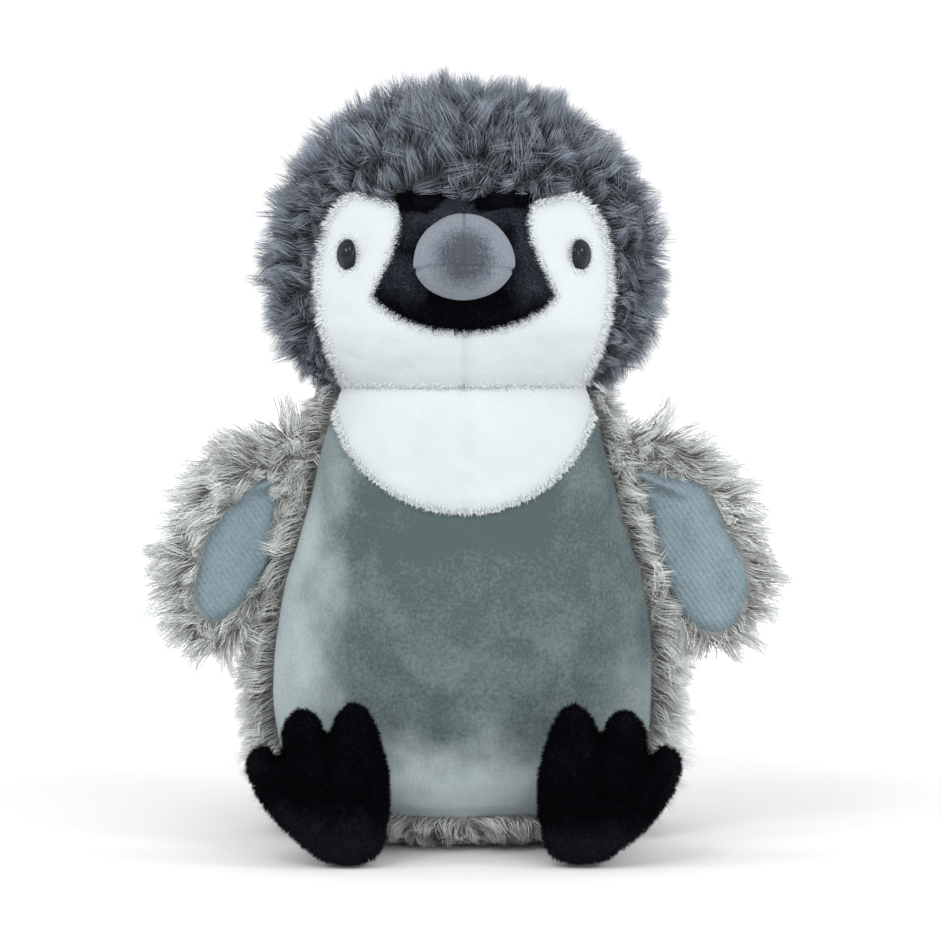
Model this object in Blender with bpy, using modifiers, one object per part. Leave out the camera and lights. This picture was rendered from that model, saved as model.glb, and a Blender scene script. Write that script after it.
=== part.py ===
"""Sitting plush penguin, 300 mm class, built as the sewn panels and fillings it is made of.

The toy sits on +Z = 0 facing -Y, with its own left side at +X.  Every panel is a closed solid
of cloth with its short or flattened pile, every filling is a closed solid of its own, and
neighbouring pieces are a hair apart.  The head turns and nods on a ball shaped neck seam,
each wing swings at its shoulder seam and each foot tilts on its heel.
"""

import math

import bmesh
import bpy
from mathutils import Matrix, Vector

MM = 0.001
GAP = 0.3 * MM                  # space left between pieces that touch
CLOTH = 2.0 * MM                # backing cloth inside the skin line
LOOSE = 1.8 * MM                # slack between a filling and its cover
NAP = 1.0 * MM                  # short pile outside the skin line
PILE = 5.0 * MM                 # long pile, pressed flat, outside the skin line

# Torso: half width against height of the skin, and how deep it is for its width.
TORSO_PROFILE = [(0, -8), (42, -8), (60, -1), (70, 12), (77, 30), (80, 55), (79.5, 80),
                 (76, 102), (70, 122), (63, 141), (57, 160), (52, 174), (42, 192), (0, 196)]
TORSO_AXIS_Y = 12.0 * MM
TORSO_DEPTH = 0.79
NECK_AXIS_Y = 5.0 * MM
NECK_DEPTH = 0.90
SIDE_SEAM_Y = -7.0 * MM         # plane of the seams between belly and back
BASE_SEAM_Z = 14.0 * MM         # rim of the seat panel
BIB_TOP_Z = 180.0 * MM
BIB_HALF_WIDTH = 52.0 * MM
BIB_DROP = 49.0 * MM

# Head: half width against height of the skin.
HEAD_PROFILE = [(0, 146), (36, 151), (48, 170), (55, 187), (63, 197), (67.5, 210), (68, 225),
                (65.5, 240), (59, 256), (49, 269), (35, 279.5), (18, 285.5), (0, 287)]
HEAD_DEPTH = 0.83
HEAD_PIVOT = Vector((0.0, 5.0, 215.0)) * MM
NECK_BALL = 57.5 * MM           # radius of the seam surface about the head pivot
NECK_TOP_Z = 179.0 * MM
CHEEK_LIFT_Z = 194.0 * MM       # above this the head may be wider than the neck ball

FACE_OUTLINE = [(0, 150), (44, 168), (50, 184), (57, 200), (60, 222), (57, 240), (49, 252),
                (40, 255.5), (30, 253), (20, 250), (0, 249)]
BROW_OUTLINE = [(0, 202), (16, 204), (33, 213.5), (28, 228), (23.5, 240), (26, 254), (0, 258)]

# Beak, an egg lying along Y that grows out of the brow mask.
BEAK_CENTRE = Vector((0.0, -49.0, 229.5)) * MM
BEAK_RADII = Vector((20.0, 31.0, 16.8)) * MM
MOUTH_Z = 226.0 * MM

# Eyes, domes on shanks, each held by a push-on washer inside the head.
EYE_X, EYE_Y, EYE_Z = 43.5 * MM, -38.5 * MM, 230.0 * MM
EYE_TURN = math.radians(52.0)   # away from straight ahead
EYE_RADIUS = 6.2 * MM
EYE_RISE = 4.2 * MM
SHANK_RADIUS = 1.8 * MM
SHANK_LENGTH = 15.0 * MM
WASHER_RADIUS = 7.5 * MM
WASHER_DEPTH = 8.0 * MM         # from the eye's rim to the washer
WASHER_THICK = 1.6 * MM

# Wings, outlines about the shoulder point: outwards and upwards.
SHOULDER = Vector((66.0, -2.0, 148.0)) * MM
WING_ROOT = 12.5 * MM
WING_FRONT_Y = -8.0 * MM
WING_BACK_Y = 7.0 * MM
WING_FORWARD = math.radians(9.0)
WING_OUTLINE = [(-12, 0), (-8.7, 8.6), (0, 12.3), (14, 10.5), (29, 1), (39, -14), (46, -31),
                (49, -47), (46, -60), (38, -69), (28, -70), (21, -63), (17, -52), (15.5, -40),
                (11.5, -26), (5, -16), (-6, -10.5)]
WING_EDGE = 4.0 * MM            # fur turned round the lining
WING_SWEEP = [-5, 0, 30, 60]    # degrees at which the torso clears the wing
WING_SLOT = 0.8 * MM

# Feet, outlines in the world's X and Z, and the legs behind them.
FOOT_OUTLINE = [(40, 0.6), (52, 1.8), (66, 12), (75, 22), (80.5, 32), (82, 41), (75.5, 46.5),
                (68.8, 43), (68.2, 53), (62, 60.2), (55.5, 57.5), (50.8, 51), (48, 57.5),
                (42, 62.3), (35.5, 58), (31, 47), (28, 34), (28.5, 18), (31.5, 6)]
FOOT_FRONT_Y = -80.5 * MM
FOOT_BACK_Y = -61.0 * MM
FOOT_AXIS_Y = -74.5 * MM
FOOT_AXIS_Z = 11.0 * MM
FOOT_SKIN = 2.4 * MM
FOOT_ROUND = 2.6 * MM
HEEL_SWEEP = 17.2 * MM
TOES_BACK = math.radians(-10.0)
LEG_RADIUS = 13.0 * MM
LEG_START = Vector((47.0, -25.0, 15.5)) * MM
LEG_END = Vector((46.0, -62.0, 14.3)) * MM

# Fillings
NECK_PLUG_RADIUS = 28.0 * MM
NECK_PLUG_FLOOR = 138.0 * MM
POUCH_RADII = Vector((48.0, 36.0, 17.0)) * MM
POUCH_CENTRE = Vector((0.0, 11.0, 18.0)) * MM

BIG = 0.4                       # half-space boxes

COLOURS = {
    "taupe_fur": ((0.30, 0.30, 0.29), 0.95),
    "slate_fur": ((0.10, 0.12, 0.14), 0.95),
    "white_plush": ((0.80, 0.84, 0.86), 0.95),
    "black_plush": ((0.006, 0.006, 0.010), 0.9),
    "grey_velour": ((0.17, 0.22, 0.23), 0.8),
    "beak_suede": ((0.17, 0.19, 0.22), 0.9),
    "lining_knit": ((0.25, 0.32, 0.35), 0.9),
    "eye_plastic": ((0.004, 0.004, 0.005), 0.08),
    "washer_plastic": ((0.75, 0.75, 0.72), 0.4),
    "filling": ((0.9, 0.9, 0.88), 1.0),
    "pouch_cloth": ((0.6, 0.58, 0.52), 0.9),
}


def collection(name):
    """A new collection linked to the scene."""
    group = bpy.data.collections.new(name)
    bpy.context.scene.collection.children.link(group)
    return group


def finish(name):
    """The Principled material of that finish, made once."""
    if name in bpy.data.materials:
        return bpy.data.materials[name]
    colour, roughness = COLOURS[name]
    material = bpy.data.materials.new(name)
    material.use_nodes = True
    shader = material.node_tree.nodes["Principled BSDF"]
    shader.inputs["Base Color"].default_value = (*colour, 1.0)
    shader.inputs["Roughness"].default_value = roughness
    shader.inputs["Metallic"].default_value = 0.0
    material.diffuse_color = (*colour, 1.0)
    return material


def as_cutter(item):
    """Moves an object to the cutters and hides it from the model."""
    for group in list(item.users_collection):
        group.objects.unlink(item)
    CUTTERS.objects.link(item)
    item.hide_render = True
    item.display_type = "WIRE"
    return item


def new_object(name, mesh):
    """An object of the model for that mesh."""
    item = bpy.data.objects.new(name, mesh)
    PARTS.objects.link(item)
    return item


def mesh_from(name, builder):
    """A mesh made by a function that fills a bmesh."""
    bm = bmesh.new()
    builder(bm)
    bmesh.ops.recalc_face_normals(bm, faces=bm.faces)
    mesh = bpy.data.meshes.new(name)
    bm.to_mesh(mesh)
    bm.free()
    return mesh


def cut(item, operation, *tools):
    """Adds one exact Boolean for each tool."""
    for tool in tools:
        step = item.modifiers.new(tool.name, "BOOLEAN")
        step.operation = operation
        step.solver = "EXACT"
        step.object = tool
    return item


def box(name, low, high):
    """A box cutter between two corners."""
    low, high = Vector(low), Vector(high)

    def build(bm):
        size = high - low
        bmesh.ops.create_cube(bm, size=1.0)
        bmesh.ops.scale(bm, vec=size, verts=bm.verts)
        bmesh.ops.translate(bm, vec=(low + high) / 2.0, verts=bm.verts)

    return as_cutter(new_object(name, mesh_from(name, build)))


def ball(name, centre, radii, around=26, rings=16):
    """An ellipsoid from a sphere primitive."""

    def build(bm):
        bmesh.ops.create_uvsphere(bm, u_segments=around, v_segments=rings, radius=1.0)
        bmesh.ops.scale(bm, vec=radii, verts=bm.verts)
        bmesh.ops.translate(bm, vec=centre, verts=bm.verts)

    return new_object(name, mesh_from(name, build))


def rod(name, start, end, radius, sides=20):
    """A cylinder between two points."""
    run = end - start

    def build(bm):
        turn = run.to_track_quat("Z", "Y").to_matrix().to_4x4()
        place = Matrix.Translation((start + end) / 2.0) @ turn
        bmesh.ops.create_cone(bm, cap_ends=True, segments=sides, radius1=radius,
                              radius2=radius, depth=run.length, matrix=place)

    return new_object(name, mesh_from(name, build))


def smooth_run(points, count):
    """Points spaced evenly along a Catmull-Rom curve through a list."""
    ends = [points[0]] + list(points) + [points[-1]]
    fine = []
    for k in range(1, len(ends) - 2):
        before, here, after, beyond = (Vector(ends[k + j]) for j in (-1, 0, 1, 2))
        for step in range(12):
            t = step / 12.0
            fine.append(0.5 * ((2.0 * here) + (after - before) * t
                               + (2.0 * before - 5.0 * here + 4.0 * after - beyond) * t * t
                               + (3.0 * here - before - 3.0 * after + beyond) * t ** 3))
    fine.append(Vector(points[-1]))
    lengths = [0.0]
    for first, second in zip(fine, fine[1:]):
        lengths.append(lengths[-1] + (second - first).length)
    result, k = [], 0
    for index in range(count):
        goal = lengths[-1] * index / (count - 1)
        while k < len(fine) - 2 and lengths[k + 1] < goal:
            k += 1
        share = (goal - lengths[k]) / max(lengths[k + 1] - lengths[k], 1e-9)
        result.append(fine[k].lerp(fine[k + 1], min(max(share, 0.0), 1.0)))
    return result


def fade(value, low, high):
    """0 below low, 1 above high, smooth between."""
    t = min(max((value - low) / (high - low), 0.0), 1.0)
    return t * t * (3.0 - 2.0 * t)


def torso_section(z):
    """The torso's centre in Y and its depth for its width at a height."""
    t = fade(z, 120.0 * MM, NECK_TOP_Z)
    return TORSO_AXIS_Y + (NECK_AXIS_Y - TORSO_AXIS_Y) * t, TORSO_DEPTH + (NECK_DEPTH - TORSO_DEPTH) * t


def head_section(z):
    """The head's centre in Y and its depth for its width at a height."""
    t = fade(z, NECK_TOP_Z, HEAD_PIVOT.z)
    return NECK_AXIS_Y, NECK_DEPTH + (HEAD_DEPTH - NECK_DEPTH) * t


def stuffed_form(name, profile, section, grow, around=30, rings=16):
    """A stuffed form: a sphere primitive laid on a profile, then grown evenly outwards."""
    run = smooth_run([(r * MM, z * MM) for r, z in profile], rings + 1)

    def build(bm):
        bmesh.ops.create_uvsphere(bm, u_segments=around, v_segments=rings, radius=1.0)
        for vert in bm.verts:
            k = round((1.0 - math.acos(max(-1.0, min(1.0, vert.co.z))) / math.pi) * rings)
            before, after = run[max(k - 1, 0)], run[min(k + 1, rings)]
            along = (after - before).normalized()
            out = Vector((along.y, -along.x))
            if k in (0, rings):
                out = Vector((0.0, -1.0 if k == 0 else 1.0))
            centre, depth = section(run[k].y)
            angle = math.atan2(vert.co.y, vert.co.x)
            wide = run[k].x + out.x * grow
            deep = run[k].x * depth + out.x * grow
            if k in (0, rings):
                wide = deep = 0.0
            vert.co = (wide * math.cos(angle), centre + deep * math.sin(angle), run[k].y + out.y * grow)

    item = new_object(name, mesh_from(name, build))
    item.data.shade_smooth()
    return item


def outline_solid(name, points, low, high, place, inset=0.0, rounding=0.0, resolution=2):
    """A flat outline between two depths, with its edge set in and rounded if asked.

    The outline lies in the local X and Y; local Z runs from low to high.
    """
    data = bpy.data.curves.new(name, "CURVE")
    data.dimensions = "2D"
    data.fill_mode = "BOTH"
    data.resolution_u = resolution
    data.offset = -inset - rounding
    data.extrude = (high - low) / 2.0 - rounding
    data.bevel_depth = rounding
    data.bevel_resolution = 0
    spline = data.splines.new("BEZIER")
    spline.bezier_points.add(len(points) - 1)
    for knot, (x, y) in zip(spline.bezier_points, points):
        knot.co = (x * MM, y * MM, 0.0)
        knot.handle_left_type = knot.handle_right_type = "AUTO"
    spline.use_cyclic_u = True
    curve = bpy.data.objects.new(name + "_curve", data)
    PARTS.objects.link(curve)
    bpy.context.view_layer.update()
    shape = curve.evaluated_get(bpy.context.evaluated_depsgraph_get())
    mesh = bpy.data.meshes.new_from_object(shape)
    bpy.data.objects.remove(curve)
    bm = bmesh.new()
    bm.from_mesh(mesh)
    bmesh.ops.remove_doubles(bm, verts=bm.verts, dist=0.01 * MM)
    bmesh.ops.translate(bm, vec=(0.0, 0.0, (low + high) / 2.0), verts=bm.verts)
    bmesh.ops.transform(bm, matrix=place, verts=bm.verts)
    bmesh.ops.recalc_face_normals(bm, faces=bm.faces)
    bm.to_mesh(mesh)
    bm.free()
    mesh.name = name
    return new_object(name, mesh)


def mirrored(points):
    """A right hand outline made from a left hand one."""
    return [(-x, y) for x, y in reversed(points)]


def sided(points, side):
    """The outline for side +1 (the penguin's left) or -1 (its right)."""
    return list(points) if side > 0 else mirrored(points)


def both_sides(points):
    """A closed outline from its +X half, which starts and ends on the middle line."""
    return list(points) + [(-x, y) for x, y in reversed(points[1:-1])]


def front_view():
    """Puts an outline drawn in X and Y upright in X and Z, its depth along -Y."""
    return Matrix.Rotation(math.radians(90.0), 4, "X")


def turned(name, profile, place, sides=16, ring=False):
    """A solid of revolution from a profile that runs down its outer side, from pole to pole.

    A ring's profile is a closed loop clear of the axis.
    """
    count = len(profile)
    mesh = bpy.data.meshes.new(name)
    mesh.from_pydata([(r, 0.0, z) for r, z in profile],
                     [(k, (k + 1) % count) for k in range(count if ring else count - 1)], [])
    item = new_object(name, mesh)
    item.matrix_world = place
    screw = item.modifiers.new("turn", "SCREW")
    screw.steps = screw.render_steps = sides
    screw.use_merge_vertices = True
    screw.merge_threshold = 0.01 * MM
    return item


def part(item, name, material):
    """Names a finished piece and gives it its material."""
    item.name = name
    item.data.name = name
    item.data.materials.clear()
    item.data.materials.append(finish(material))
    return item


def half_space(name, axis, start, towards):
    """A large box on one side of a plane."""
    low, high = [-BIG] * 3, [BIG] * 3
    if towards > 0:
        low[axis] = start
    else:
        high[axis] = start
    return box(name, low, high)


# --------------------------------------------------------------------------------------
# Cutters shared by several pieces
# --------------------------------------------------------------------------------------

def shared_cutters():
    """The planes, forms and outlines that part one panel from the next."""
    tools = {}
    for side, word in ((1, "left"), (-1, "right")):
        tools[word] = half_space("half_" + word, 0, side * GAP / 2.0, side)
        tools["wing_root_" + word] = as_cutter(rod(
            "wing_root_" + word, shoulder(side) + wing_axis(side) * (2.0 * WING_SLOT - WING_FRONT_Y),
            shoulder(side) - wing_axis(side) * (2.0 * WING_SLOT + WING_BACK_Y),
            WING_ROOT + WING_SLOT, 24))
        tools["wing_beds_" + word] = [wing_bed(side, word, angle) for angle in WING_SWEEP]
    tools["front"] = half_space("front", 1, SIDE_SEAM_Y - GAP / 2.0, -1)
    tools["behind"] = half_space("behind", 1, SIDE_SEAM_Y + GAP / 2.0, 1)
    tools["above_seat"] = half_space("above_seat", 2, BASE_SEAM_Z + GAP / 2.0, 1)
    tools["seat"] = box("seat", (-BIG, -BIG, 0.0), (BIG, BIG, BASE_SEAM_Z - GAP / 2.0))
    tools["below_neck"] = half_space("below_neck", 2, NECK_TOP_Z, -1)
    tools["neck_cup"] = as_cutter(ball("neck_cup", HEAD_PIVOT, Vector.Fill(3, NECK_BALL + GAP)))
    tools["neck_ball"] = as_cutter(ball("neck_ball", HEAD_PIVOT, Vector.Fill(3, NECK_BALL - 2.0 * GAP)))
    tools["neck_round"] = cut(half_space("neck_round", 2, CHEEK_LIFT_Z, -1), "DIFFERENCE",
                              tools["neck_ball"])
    bib = [(BIB_HALF_WIDTH / MM * math.cos(a), BIB_TOP_Z / MM + BIB_DROP / MM * math.sin(a))
           for a in (math.tau * k / 8.0 for k in range(8))]
    view = front_view()
    deep = 120.0 * MM
    for name, points in (("bib", bib), ("face", both_sides(FACE_OUTLINE)),
                         ("brow", both_sides(BROW_OUTLINE))):
        tools[name] = as_cutter(outline_solid(name + "_in", points, 0.0, deep, view, GAP / 2.0))
        tools["not_" + name] = as_cutter(outline_solid(name + "_out", points, 0.0, deep, view, -GAP / 2.0))
    for name, profile, section in (("torso", TORSO_PROFILE, torso_section),
                                   ("head", HEAD_PROFILE, head_section)):
        tools[name + "_core"] = as_cutter(stuffed_form(name + "_core", profile, section, -CLOTH))
    tools["head_clear"] = as_cutter(stuffed_form("head_clear", HEAD_PROFILE, head_section, NAP + GAP))
    tools["torso_clear"] = as_cutter(stuffed_form("torso_clear", TORSO_PROFILE, torso_section,
                                                  PILE + GAP))
    return tools


def shoulder(side):
    """The shoulder point of one side."""
    return Vector((SHOULDER.x * side, SHOULDER.y, SHOULDER.z))


def wing_axis(side):
    """The wing's hinge line, pointing forwards and square to the wing's flat."""
    return Matrix.Rotation(-side * WING_FORWARD, 3, "Z") @ Vector((0.0, -1.0, 0.0))


def wing_bed(side, word, angle):
    """The room that the wing takes when swung up by an angle in degrees."""
    swing = Matrix.Translation(shoulder(side)) @ Matrix.Rotation(
        math.radians(angle) * side, 4, wing_axis(side)) @ Matrix.Translation(-shoulder(side))
    return as_cutter(outline_solid("wing_bed_" + word, sided(WING_OUTLINE, side),
                                   -WING_BACK_Y - WING_SLOT, -WING_FRONT_Y + WING_SLOT,
                                   swing @ wing_place(side), -WING_SLOT))


def wing_place(side):
    """The upright place of a wing outline, leaning forwards from the shoulder."""
    return (Matrix.Translation(shoulder(side)) @ Matrix.Rotation(-side * WING_FORWARD, 4, "Z")
            @ front_view())


# --------------------------------------------------------------------------------------
# Sub-parts
# --------------------------------------------------------------------------------------

def torso_panel(name, grow, material, keeps, drops):
    """One sewn panel of the torso."""
    item = stuffed_form(name, TORSO_PROFILE, torso_section, grow)
    cut(item, "INTERSECT", *keeps)
    cut(item, "DIFFERENCE", *drops)
    return part(item, name, material)


def make_torso(tools):
    """The belly, bib, back and seat panels, the filling and the pellet pouch."""
    roots = [tools["wing_root_left"], tools["wing_root_right"]]
    neck = [tools["neck_cup"], tools["torso_core"]]
    front = [tools["front"], tools["above_seat"], tools["below_neck"]]
    pieces = [torso_panel("belly_panel", NAP, "grey_velour", front, neck + [tools["not_bib"]] + roots)]
    for word in ("left", "right"):
        pieces.append(torso_panel("bib_" + word, NAP, "white_plush",
                                  front + [tools["bib"], tools[word]], neck))
        pieces.append(torso_panel(
            "back_fur_" + word, PILE, "taupe_fur",
            [tools["behind"], tools["above_seat"], tools["below_neck"], tools[word]],
            neck + [tools["wing_root_" + word]] + tools["wing_beds_" + word]))
    pieces.append(torso_panel("seat_panel", PILE, "taupe_fur", [tools["seat"]],
                              [tools["torso_core_floor"]]))
    filling = stuffed_form("torso_filling", TORSO_PROFILE, torso_section, -CLOTH - LOOSE, 24, 13)
    cut(filling, "INTERSECT", tools["below_neck"], tools["above_floor"])
    cut(filling, "DIFFERENCE", tools["neck_cup"], tools["neck_plug_hole"], tools["pouch_hole"], *roots)
    pieces.append(part(filling, "torso_filling", "filling"))
    pouch = ball("pellet_pouch", POUCH_CENTRE, POUCH_RADII, 24, 12)
    cut(pouch, "INTERSECT", tools["above_floor"])
    pieces.append(part(pouch, "pellet_pouch", "pouch_cloth"))
    return pieces


def torso_cutters(tools):
    """Cutters for the torso's inner pieces."""
    floor = CLOTH + 1.0 * MM
    tools["above_floor"] = half_space("above_floor", 2, floor + GAP, 1)
    core = as_cutter(stuffed_form("torso_core_floor", TORSO_PROFILE, torso_section, -CLOTH))
    tools["torso_core_floor"] = cut(core, "INTERSECT", half_space("over_seat_cloth", 2, floor, 1))
    tools["pouch_hole"] = as_cutter(ball("pouch_hole", POUCH_CENTRE, POUCH_RADII + Vector.Fill(3, GAP),
                                         24, 12))
    low = Vector((HEAD_PIVOT.x, HEAD_PIVOT.y, NECK_PLUG_FLOOR))
    high = Vector((HEAD_PIVOT.x, HEAD_PIVOT.y, HEAD_PIVOT.z))
    tools["neck_plug_hole"] = as_cutter(rod("neck_plug_hole", low - Vector((0, 0, GAP)), high,
                                            NECK_PLUG_RADIUS + GAP, 24))


def make_neck(tools):
    """The firm plug of filling that the head turns on."""
    low = Vector((HEAD_PIVOT.x, HEAD_PIVOT.y, NECK_PLUG_FLOOR))
    plug = rod("neck_filling", low, HEAD_PIVOT, NECK_PLUG_RADIUS - GAP, 24)
    cut(plug, "DIFFERENCE", tools["neck_cup"])
    return [part(plug, "neck_filling", "filling")]


def head_panel(name, grow, material, keeps, drops):
    """One sewn panel of the head."""
    item = stuffed_form(name, HEAD_PROFILE, head_section, grow)
    cut(item, "INTERSECT", *keeps)
    cut(item, "DIFFERENCE", *drops)
    return part(item, name, material)


def make_head(tools):
    """The hood, cheeks and brow mask, and the filling inside them."""
    shell = [tools["head_core"], tools["neck_round"]]
    pieces = [head_panel("brow_mask", NAP, "black_plush", [tools["brow"]], shell)]
    for word in ("left", "right"):
        pieces.append(head_panel("cheek_" + word, NAP, "white_plush", [tools["face"], tools[word]],
                                 shell + [tools["not_brow"], tools["eye_hole_" + word]]))
        pieces.append(head_panel("hood_" + word, PILE, "slate_fur", [tools[word]],
                                 shell + [tools["not_face_or_brow"]]))
    filling = stuffed_form("head_filling", HEAD_PROFILE, head_section, -CLOTH - LOOSE, 24, 13)
    cut(filling, "DIFFERENCE", tools["neck_round"], tools["eye_hole_left"], tools["eye_hole_right"])
    pieces.append(part(filling, "head_filling", "filling"))
    return pieces


def head_cutters(tools):
    """Cutters for the face opening of the hood and for the eyes."""
    opening = tools["not_face"].copy()
    opening.data = tools["not_face"].data.copy()
    opening.name = "face_and_brow"
    CUTTERS.objects.link(opening)
    tools["not_face_or_brow"] = cut(opening, "UNION", tools["not_brow"])
    for side, word in ((1, "left"), (-1, "right")):
        tools["eye_hole_" + word] = as_cutter(
            turned("eye_hole_" + word, eye_hole_profile(), eye_place(side)))


def eye_place(side):
    """The eye's frame: Z along its shank, outwards."""
    look = Vector((side * math.sin(EYE_TURN), -math.cos(EYE_TURN), 0.0))
    turn = look.to_track_quat("Z", "Y").to_matrix().to_4x4()
    return Matrix.Translation((EYE_X * side, EYE_Y, EYE_Z)) @ turn


def eye_hole_profile():
    """The room that an eye, its shank and its washer take, from top to bottom."""
    wide, thin = EYE_RADIUS + GAP, SHANK_RADIUS + GAP
    top, bottom = 12.0 * MM, -0.6 * MM - GAP
    washer = WASHER_RADIUS + GAP
    return [(0, top), (wide, top), (wide, bottom), (thin, bottom), (thin, GAP - WASHER_DEPTH),
            (washer, GAP - WASHER_DEPTH), (washer, -WASHER_DEPTH - WASHER_THICK - GAP),
            (thin, -WASHER_DEPTH - WASHER_THICK - GAP), (thin, -SHANK_LENGTH - GAP),
            (0, -SHANK_LENGTH - GAP)]


def make_eyes():
    """Two domed eyes on ribbed shanks, each with a push-on washer."""
    pieces = []
    dome = [(EYE_RADIUS * math.sin(a), EYE_RISE * math.cos(a))
            for a in (math.pi / 2.0 * k / 4.0 for k in range(5))]
    rim = -0.6 * MM
    profile = dome + [(EYE_RADIUS, rim), (SHANK_RADIUS, rim), (SHANK_RADIUS, -SHANK_LENGTH),
                      (0.0, -SHANK_LENGTH)]
    bore = SHANK_RADIUS + GAP
    for side, word in ((1, "left"), (-1, "right")):
        pieces.append(part(turned("eye_" + word, profile, eye_place(side)), "eye_" + word, "eye_plastic"))
        washer = turned("eye_washer_" + word, [(bore, -WASHER_DEPTH), (WASHER_RADIUS, -WASHER_DEPTH),
                                               (WASHER_RADIUS, -WASHER_DEPTH - WASHER_THICK),
                                               (bore, -WASHER_DEPTH - WASHER_THICK)],
                        eye_place(side), ring=True)
        pieces.append(part(washer, "eye_washer_" + word, "washer_plastic"))
    return pieces


def make_beak(tools):
    """The upper beak in two gores, the lower beak, and their filling."""
    pieces = []
    inner = BEAK_RADII - Vector.Fill(3, CLOTH)
    hollow = as_cutter(ball("beak_hollow", BEAK_CENTRE, inner, 20, 12))
    above = half_space("above_mouth", 2, MOUTH_Z + GAP / 2.0, 1)
    below = half_space("below_mouth", 2, MOUTH_Z - GAP / 2.0, -1)
    for name, keeps in (("beak_upper_left", [above, tools["left"]]),
                        ("beak_upper_right", [above, tools["right"]]), ("beak_lower", [below])):
        item = ball(name, BEAK_CENTRE, BEAK_RADII, 20, 12)
        cut(item, "INTERSECT", *keeps)
        cut(item, "DIFFERENCE", hollow, tools["head_clear"])
        pieces.append(part(item, name, "beak_suede"))
    filling = ball("beak_filling", BEAK_CENTRE, inner - Vector.Fill(3, GAP), 20, 12)
    cut(filling, "DIFFERENCE", tools["head_clear"])
    pieces.append(part(filling, "beak_filling", "filling"))
    return pieces


def make_wing(side, word):
    """One wing: a fur tray turned round the edge, a thin pad and the lining."""
    points, place = sided(WING_OUTLINE, side), wing_place(side)
    floor = -WING_BACK_Y + PILE
    front = -WING_FRONT_Y
    skin = 2.5 * MM
    fur = outline_solid("wing_fur_" + word, points, -WING_BACK_Y, front, place)
    hollow = as_cutter(outline_solid("wing_hollow_" + word, points, floor, front + 5.0 * MM, place,
                                     WING_EDGE - GAP))
    cut(fur, "DIFFERENCE", hollow)
    pad = outline_solid("wing_pad_" + word, points, floor + GAP, front - skin - GAP, place, WING_EDGE)
    lining = outline_solid("wing_lining_" + word, points, front - skin, front, place, WING_EDGE)
    return [part(fur, "wing_fur_" + word, "taupe_fur"), part(pad, "wing_pad_" + word, "filling"),
            part(lining, "wing_lining_" + word, "lining_knit")]


def make_foot(side, word):
    """One foot: an instep tray, its filling and the sole in front."""
    points, place = sided(FOOT_OUTLINE, side), front_view()
    back, front = -FOOT_BACK_Y, -FOOT_FRONT_Y
    instep = outline_solid("foot_instep_" + word, points, back, front, place, 0.0, FOOT_ROUND)
    hollow = as_cutter(outline_solid("foot_hollow_" + word, points, back + FOOT_SKIN, front + 5.0 * MM,
                                     place, FOOT_SKIN - GAP))
    cut(instep, "DIFFERENCE", hollow)
    filling = outline_solid("foot_filling_" + word, points, back + FOOT_SKIN + GAP,
                            front - FOOT_SKIN - GAP, place, FOOT_SKIN)
    sole = outline_solid("foot_sole_" + word, points, front - FOOT_SKIN, front, place, FOOT_SKIN)
    return [part(instep, "foot_instep_" + word, "black_plush"),
            part(filling, "foot_filling_" + word, "filling"),
            part(sole, "foot_sole_" + word, "black_plush")]


def make_leg(tools, side, word):
    """One leg: a short sleeve from the seat to the heel, and its filling."""
    start = Vector((LEG_START.x * side, LEG_START.y, LEG_START.z))
    end = Vector((LEG_END.x * side, LEG_END.y, LEG_END.z))
    heel = as_cutter(rod("heel_sweep_" + word, Vector((-BIG, FOOT_AXIS_Y, FOOT_AXIS_Z)),
                         Vector((BIG, FOOT_AXIS_Y, FOOT_AXIS_Z)), HEEL_SWEEP, 36))
    axis = Vector((0.0, FOOT_AXIS_Y, FOOT_AXIS_Z))
    beds = []
    for angle, room in ((0.0, GAP), (TOES_BACK, 2.0 * GAP)):
        tilt = (Matrix.Translation(axis) @ Matrix.Rotation(angle, 4, "X")
                @ Matrix.Translation(-axis))
        beds.append(as_cutter(outline_solid("foot_bed_" + word, sided(FOOT_OUTLINE, side),
                                            -FOOT_BACK_Y - room, -FOOT_FRONT_Y,
                                            tilt @ front_view(), -room)))
    sleeve = rod("leg_sleeve_" + word, start, end, LEG_RADIUS)
    hollow = as_cutter(rod("leg_hollow_" + word, start, end.lerp(start, -0.1), LEG_RADIUS - CLOTH))
    cut(sleeve, "DIFFERENCE", hollow, tools["torso_clear"], heel, *beds)
    filling = rod("leg_filling_" + word, start, end, LEG_RADIUS - CLOTH - GAP)
    cut(filling, "DIFFERENCE", tools["torso_clear"], heel, *beds)
    return [part(sleeve, "leg_sleeve_" + word, "black_plush"),
            part(filling, "leg_filling_" + word, "filling")]


def hang_on(pieces, name, point, parent=None):
    """Parents the pieces to an empty on their joint's axis."""
    pivot = bpy.data.objects.new(name, None)
    PARTS.objects.link(pivot)
    pivot.location = point
    if parent:
        pivot.parent = parent
        pivot.location = point - parent.matrix_world.translation
    bpy.context.view_layer.update()
    for item in pieces:
        item.parent = pivot
        item.matrix_parent_inverse = pivot.matrix_world.inverted()
    return pivot


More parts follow.
